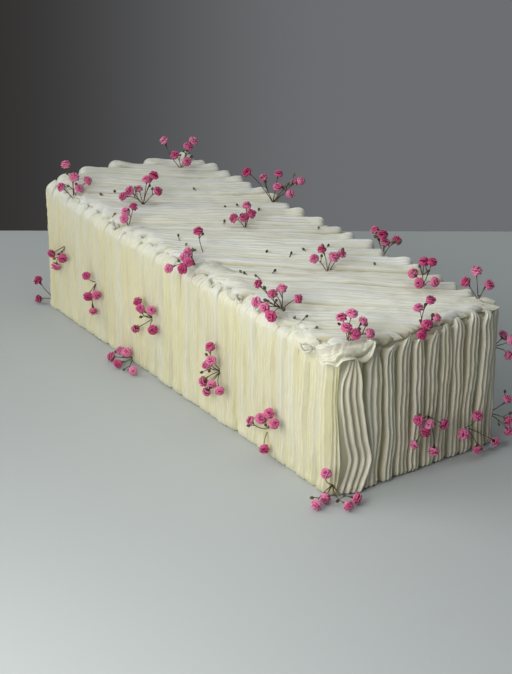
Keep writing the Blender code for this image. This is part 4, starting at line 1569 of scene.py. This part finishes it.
@dataclass
class Studio:
    """A plain pale floor, grey surroundings, the camera and three lights.

    The key is a large soft light before the front wall, towards its far end. The window is a small panel
    before the near front corner, whose light grazes the near end, and the overhead light is broad and weak.
    """

    eye: tuple = (0.9060, -0.6355, 0.5430)
    azimuth: float = 54.88
    pitch: float = 25.07
    roll: float = 0.12
    lens: float = 92.1
    sensor: float = 36.0
    floor_far: float = 0.268
    floor_reach: float = 1.6
    key_watts: float = 43.0
    key_direction: tuple = (-0.67, -0.74)
    key_elevation: float = 33.0
    key_distance: float = 3.5
    key_size: float = 2.3
    window_watts: float = 2.55
    window_place: tuple = (0.30, -0.55, 0.34)
    window_aim: tuple = (0.15, -0.03, 0.05)
    window_size: float = 0.4
    overhead: Lamp = Lamp("overhead", (0.1, 0.0, 1.6), UP, 1.6, 6.3, (0.95, 0.98, 1.0))
    wall_left: tuple = (0.033, 0.031, 0.030)
    wall_right: tuple = (0.150, 0.156, 0.165)
    ground: tuple = (0.222, 0.242, 0.241)
    ground_far: tuple = (0.04, 0.04, 0.04)
    above: tuple = (0.09, 0.095, 0.10)

    def axes(self) -> tuple[Vector, Vector, Vector]:
        """Work out the camera's directions.

        Returns:
            Its right, up and back.
        """
        a, e, r = (math.radians(angle) for angle in (self.azimuth, self.pitch, self.roll))
        back = Vector((math.sin(a) * math.cos(e), -math.cos(a) * math.cos(e), math.sin(e)))
        right = Vector((math.cos(a), math.sin(a), 0.0))
        up = back.cross(right)
        return right * math.cos(r) + up * math.sin(r), up * math.cos(r) - right * math.sin(r), back

    def place_camera(self) -> None:
        """Put the camera at the photograph's place."""
        data = bpy.data.cameras.new("camera")
        data.sensor_width, data.lens = self.sensor, self.lens
        data.clip_start, data.clip_end = 0.01, 20.0
        camera = bpy.data.objects.new("camera", data)
        bpy.context.scene.collection.objects.link(camera)
        turn = Matrix(self.axes()).transposed().to_4x4()
        camera.matrix_world = Matrix.Translation(Vector(self.eye)) @ turn
        bpy.context.scene.camera = camera

    def place_lights(self) -> None:
        """Hang the three lights."""
        level = math.radians(self.key_elevation)
        flat = Vector((*self.key_direction, 0)).normalized()
        way = flat * math.cos(level) + Vector((0, 0, math.sin(level)))
        middle, window = Vector((0, 0, 0.05)), Vector(self.window_place)
        Lamp("key", middle + way * self.key_distance, way, self.key_size, self.key_watts).hang()
        Lamp("window", window, window - Vector(self.window_aim), self.window_size, self.window_watts).hang()
        self.overhead.hang()

    def lay_floor(self) -> None:
        """Lay a flat floor whose far edge lies square to the view, a little behind the cake."""
        right, _, back = self.axes()
        ahead = -Vector((back.x, back.y, 0)).normalized()
        side = Vector((right.x, right.y, 0)).normalized()
        corners = [side * x * self.floor_reach + ahead * y for x, y in (
            (-1, -self.floor_reach), (1, -self.floor_reach), (1, self.floor_far), (-1, self.floor_far))]
        points = np.array([(*corner.xy, 0.0) for corner in corners])
        finish = FloorFinish("pale_floor").make()
        put_mesh("floor", finish, points, np.array([[0, 1, 2, 3]]), NO_TRIANGLES)

    def set_world(self) -> None:
        """Set grey surroundings: darker to the left of the cake's far end, and as pale as the floor below."""
        world = bpy.data.worlds.new("studio")
        bpy.context.scene.world = world
        world.use_nodes = True
        bench = Bench(world.node_tree)
        way = bench.node("ShaderNodeTexCoord", output="Generated")
        right, _, back = self.axes()
        across, before = (bench.node("ShaderNodeVectorMath", {"operation": "DOT_PRODUCT"},
                                     {0: way, 1: tuple(axis)}, output="Value") for axis in (right, back))
        up = bench.part(way, 2)
        wall = bench.mix(bench.ramp(across, -0.16, 0.06), rgba(self.wall_left), rgba(self.wall_right))
        low = bench.mix(bench.ramp(up, -0.30, -0.12), rgba(self.ground), rgba(self.ground_far))
        room = bench.mix(bench.ramp(before, -0.3, 0.5), wall, low)
        sky = bench.mix(bench.ramp(up, -0.05, 0.5), room, rgba(self.above))
        bench.feed(world.node_tree.nodes["Background"].inputs["Color"], sky)

    def build(self) -> None:
        """Set up the whole studio."""
        self.place_camera()
        self.place_lights()
        self.lay_floor()
        self.set_world()
        bpy.context.scene.view_settings.view_transform = "Standard"


def icing_tree() -> BVHTree:
    """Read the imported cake's surface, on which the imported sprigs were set.

    Returns:
        A tree of its faces.
    """
    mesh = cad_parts["cake"].data
    places = np.empty(len(mesh.vertices) * 3, dtype=np.float32)
    mesh.vertices.foreach_get("co", places)
    faces = [tuple(face.vertices) for face in mesh.polygons]
    return BVHTree.FromPolygons(places.reshape(-1, 3).tolist(), faces)


def hand_over(thing: bpy.types.Object, slot: str, *nodes: str) -> None:
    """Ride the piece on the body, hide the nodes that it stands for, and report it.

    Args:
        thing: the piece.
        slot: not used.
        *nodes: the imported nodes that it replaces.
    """
    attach(thing, BODY)
    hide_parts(*nodes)
    log.info("%s: %d triangles", thing.name, sum(len(face.vertices) - 2 for face in thing.data.polygons))


def main() -> None:
    """Build the studio, the icing and the sprigs in order."""
    logging.basicConfig(level=logging.INFO, format="%(message)s")
    Studio().build()
    loaf = Loaf()
    # Painted light: copies of one buttercream. The walls' cream is yellower for bounce light and the top's
    # whiter for sky light and sheen; the near end's paler cream, with stronger painted gap shade, is the
    # shaded copy; the frill's warmer top stands in for its yellow-olive shading.
    wall_cream = IcingFinish("cream_walls").make()
    shaded_end_cream = IcingFinish("cream_ends_shaded", wall=(0.765, 0.72, 0.565), streak=(0.80, 0.775, 0.665),
                            gap_shade=0.65).make()
    top_cream = IcingFinish("cream_top", gap_shade=0.6, gap_shade_low=1.0, gap_shade_high=3.6).make()
    frill_cream = IcingFinish("cream_frill", top=(0.74, 0.72, 0.555), top_streak=(0.755, 0.75, 0.63)).make()
    rim_cream = IcingFinish("cream_rim", gap_shade=0.3, gap_shade_low=2.0).make()
    wall_nozzle = Nozzle(0.55, 0.0016, 0.0022, 0.0060)
    for side in (Side.FRONT, Side.NEAR, Side.BACK, Side.FAR):
        if side is Side.NEAR:
            icing_wall = WallIcing(loaf, side, Nozzle(0.55, 0.0028, 0.0032, 0.0072, 0.75), overlap=0.985)
            hand_over(icing_wall.build(shaded_end_cream), "icing", "cake")
        else:
            hand_over(WallIcing(loaf, side, wall_nozzle, overlap=1.03).build(wall_cream), "icing", "cake")
    hand_over(TopIcing(loaf).build(top_cream), "icing", "cake")
    hand_over(Crumb(loaf).build(wall_cream), "icing", "cake")
    hand_over(Frill().build(frill_cream), "icing", "cake")
    hand_over(LooseStrokes("icing_rim", RIM_STROKES + rim_lumps(loaf)).build(rim_cream), "icing", "cake")
    sprigs = Sprigs(icing_tree())
    sprigs.plan()
    hand_over(sprigs.build_blossoms(PetalFinish("pink_petals").make()), "blossoms", *SPRIGS)
    hand_over(sprigs.build_stems(TwigFinish("brown_stems").make()), "blossoms", *SPRIGS)
    buds = TwigFinish("green_buds", light=(0.20, 0.17, 0.075), dark=(0.045, 0.040, 0.022)).make()
    hand_over(sprigs.build_buds(buds), "blossoms", *SPRIGS)


if __name__ == "__main__":
    main()
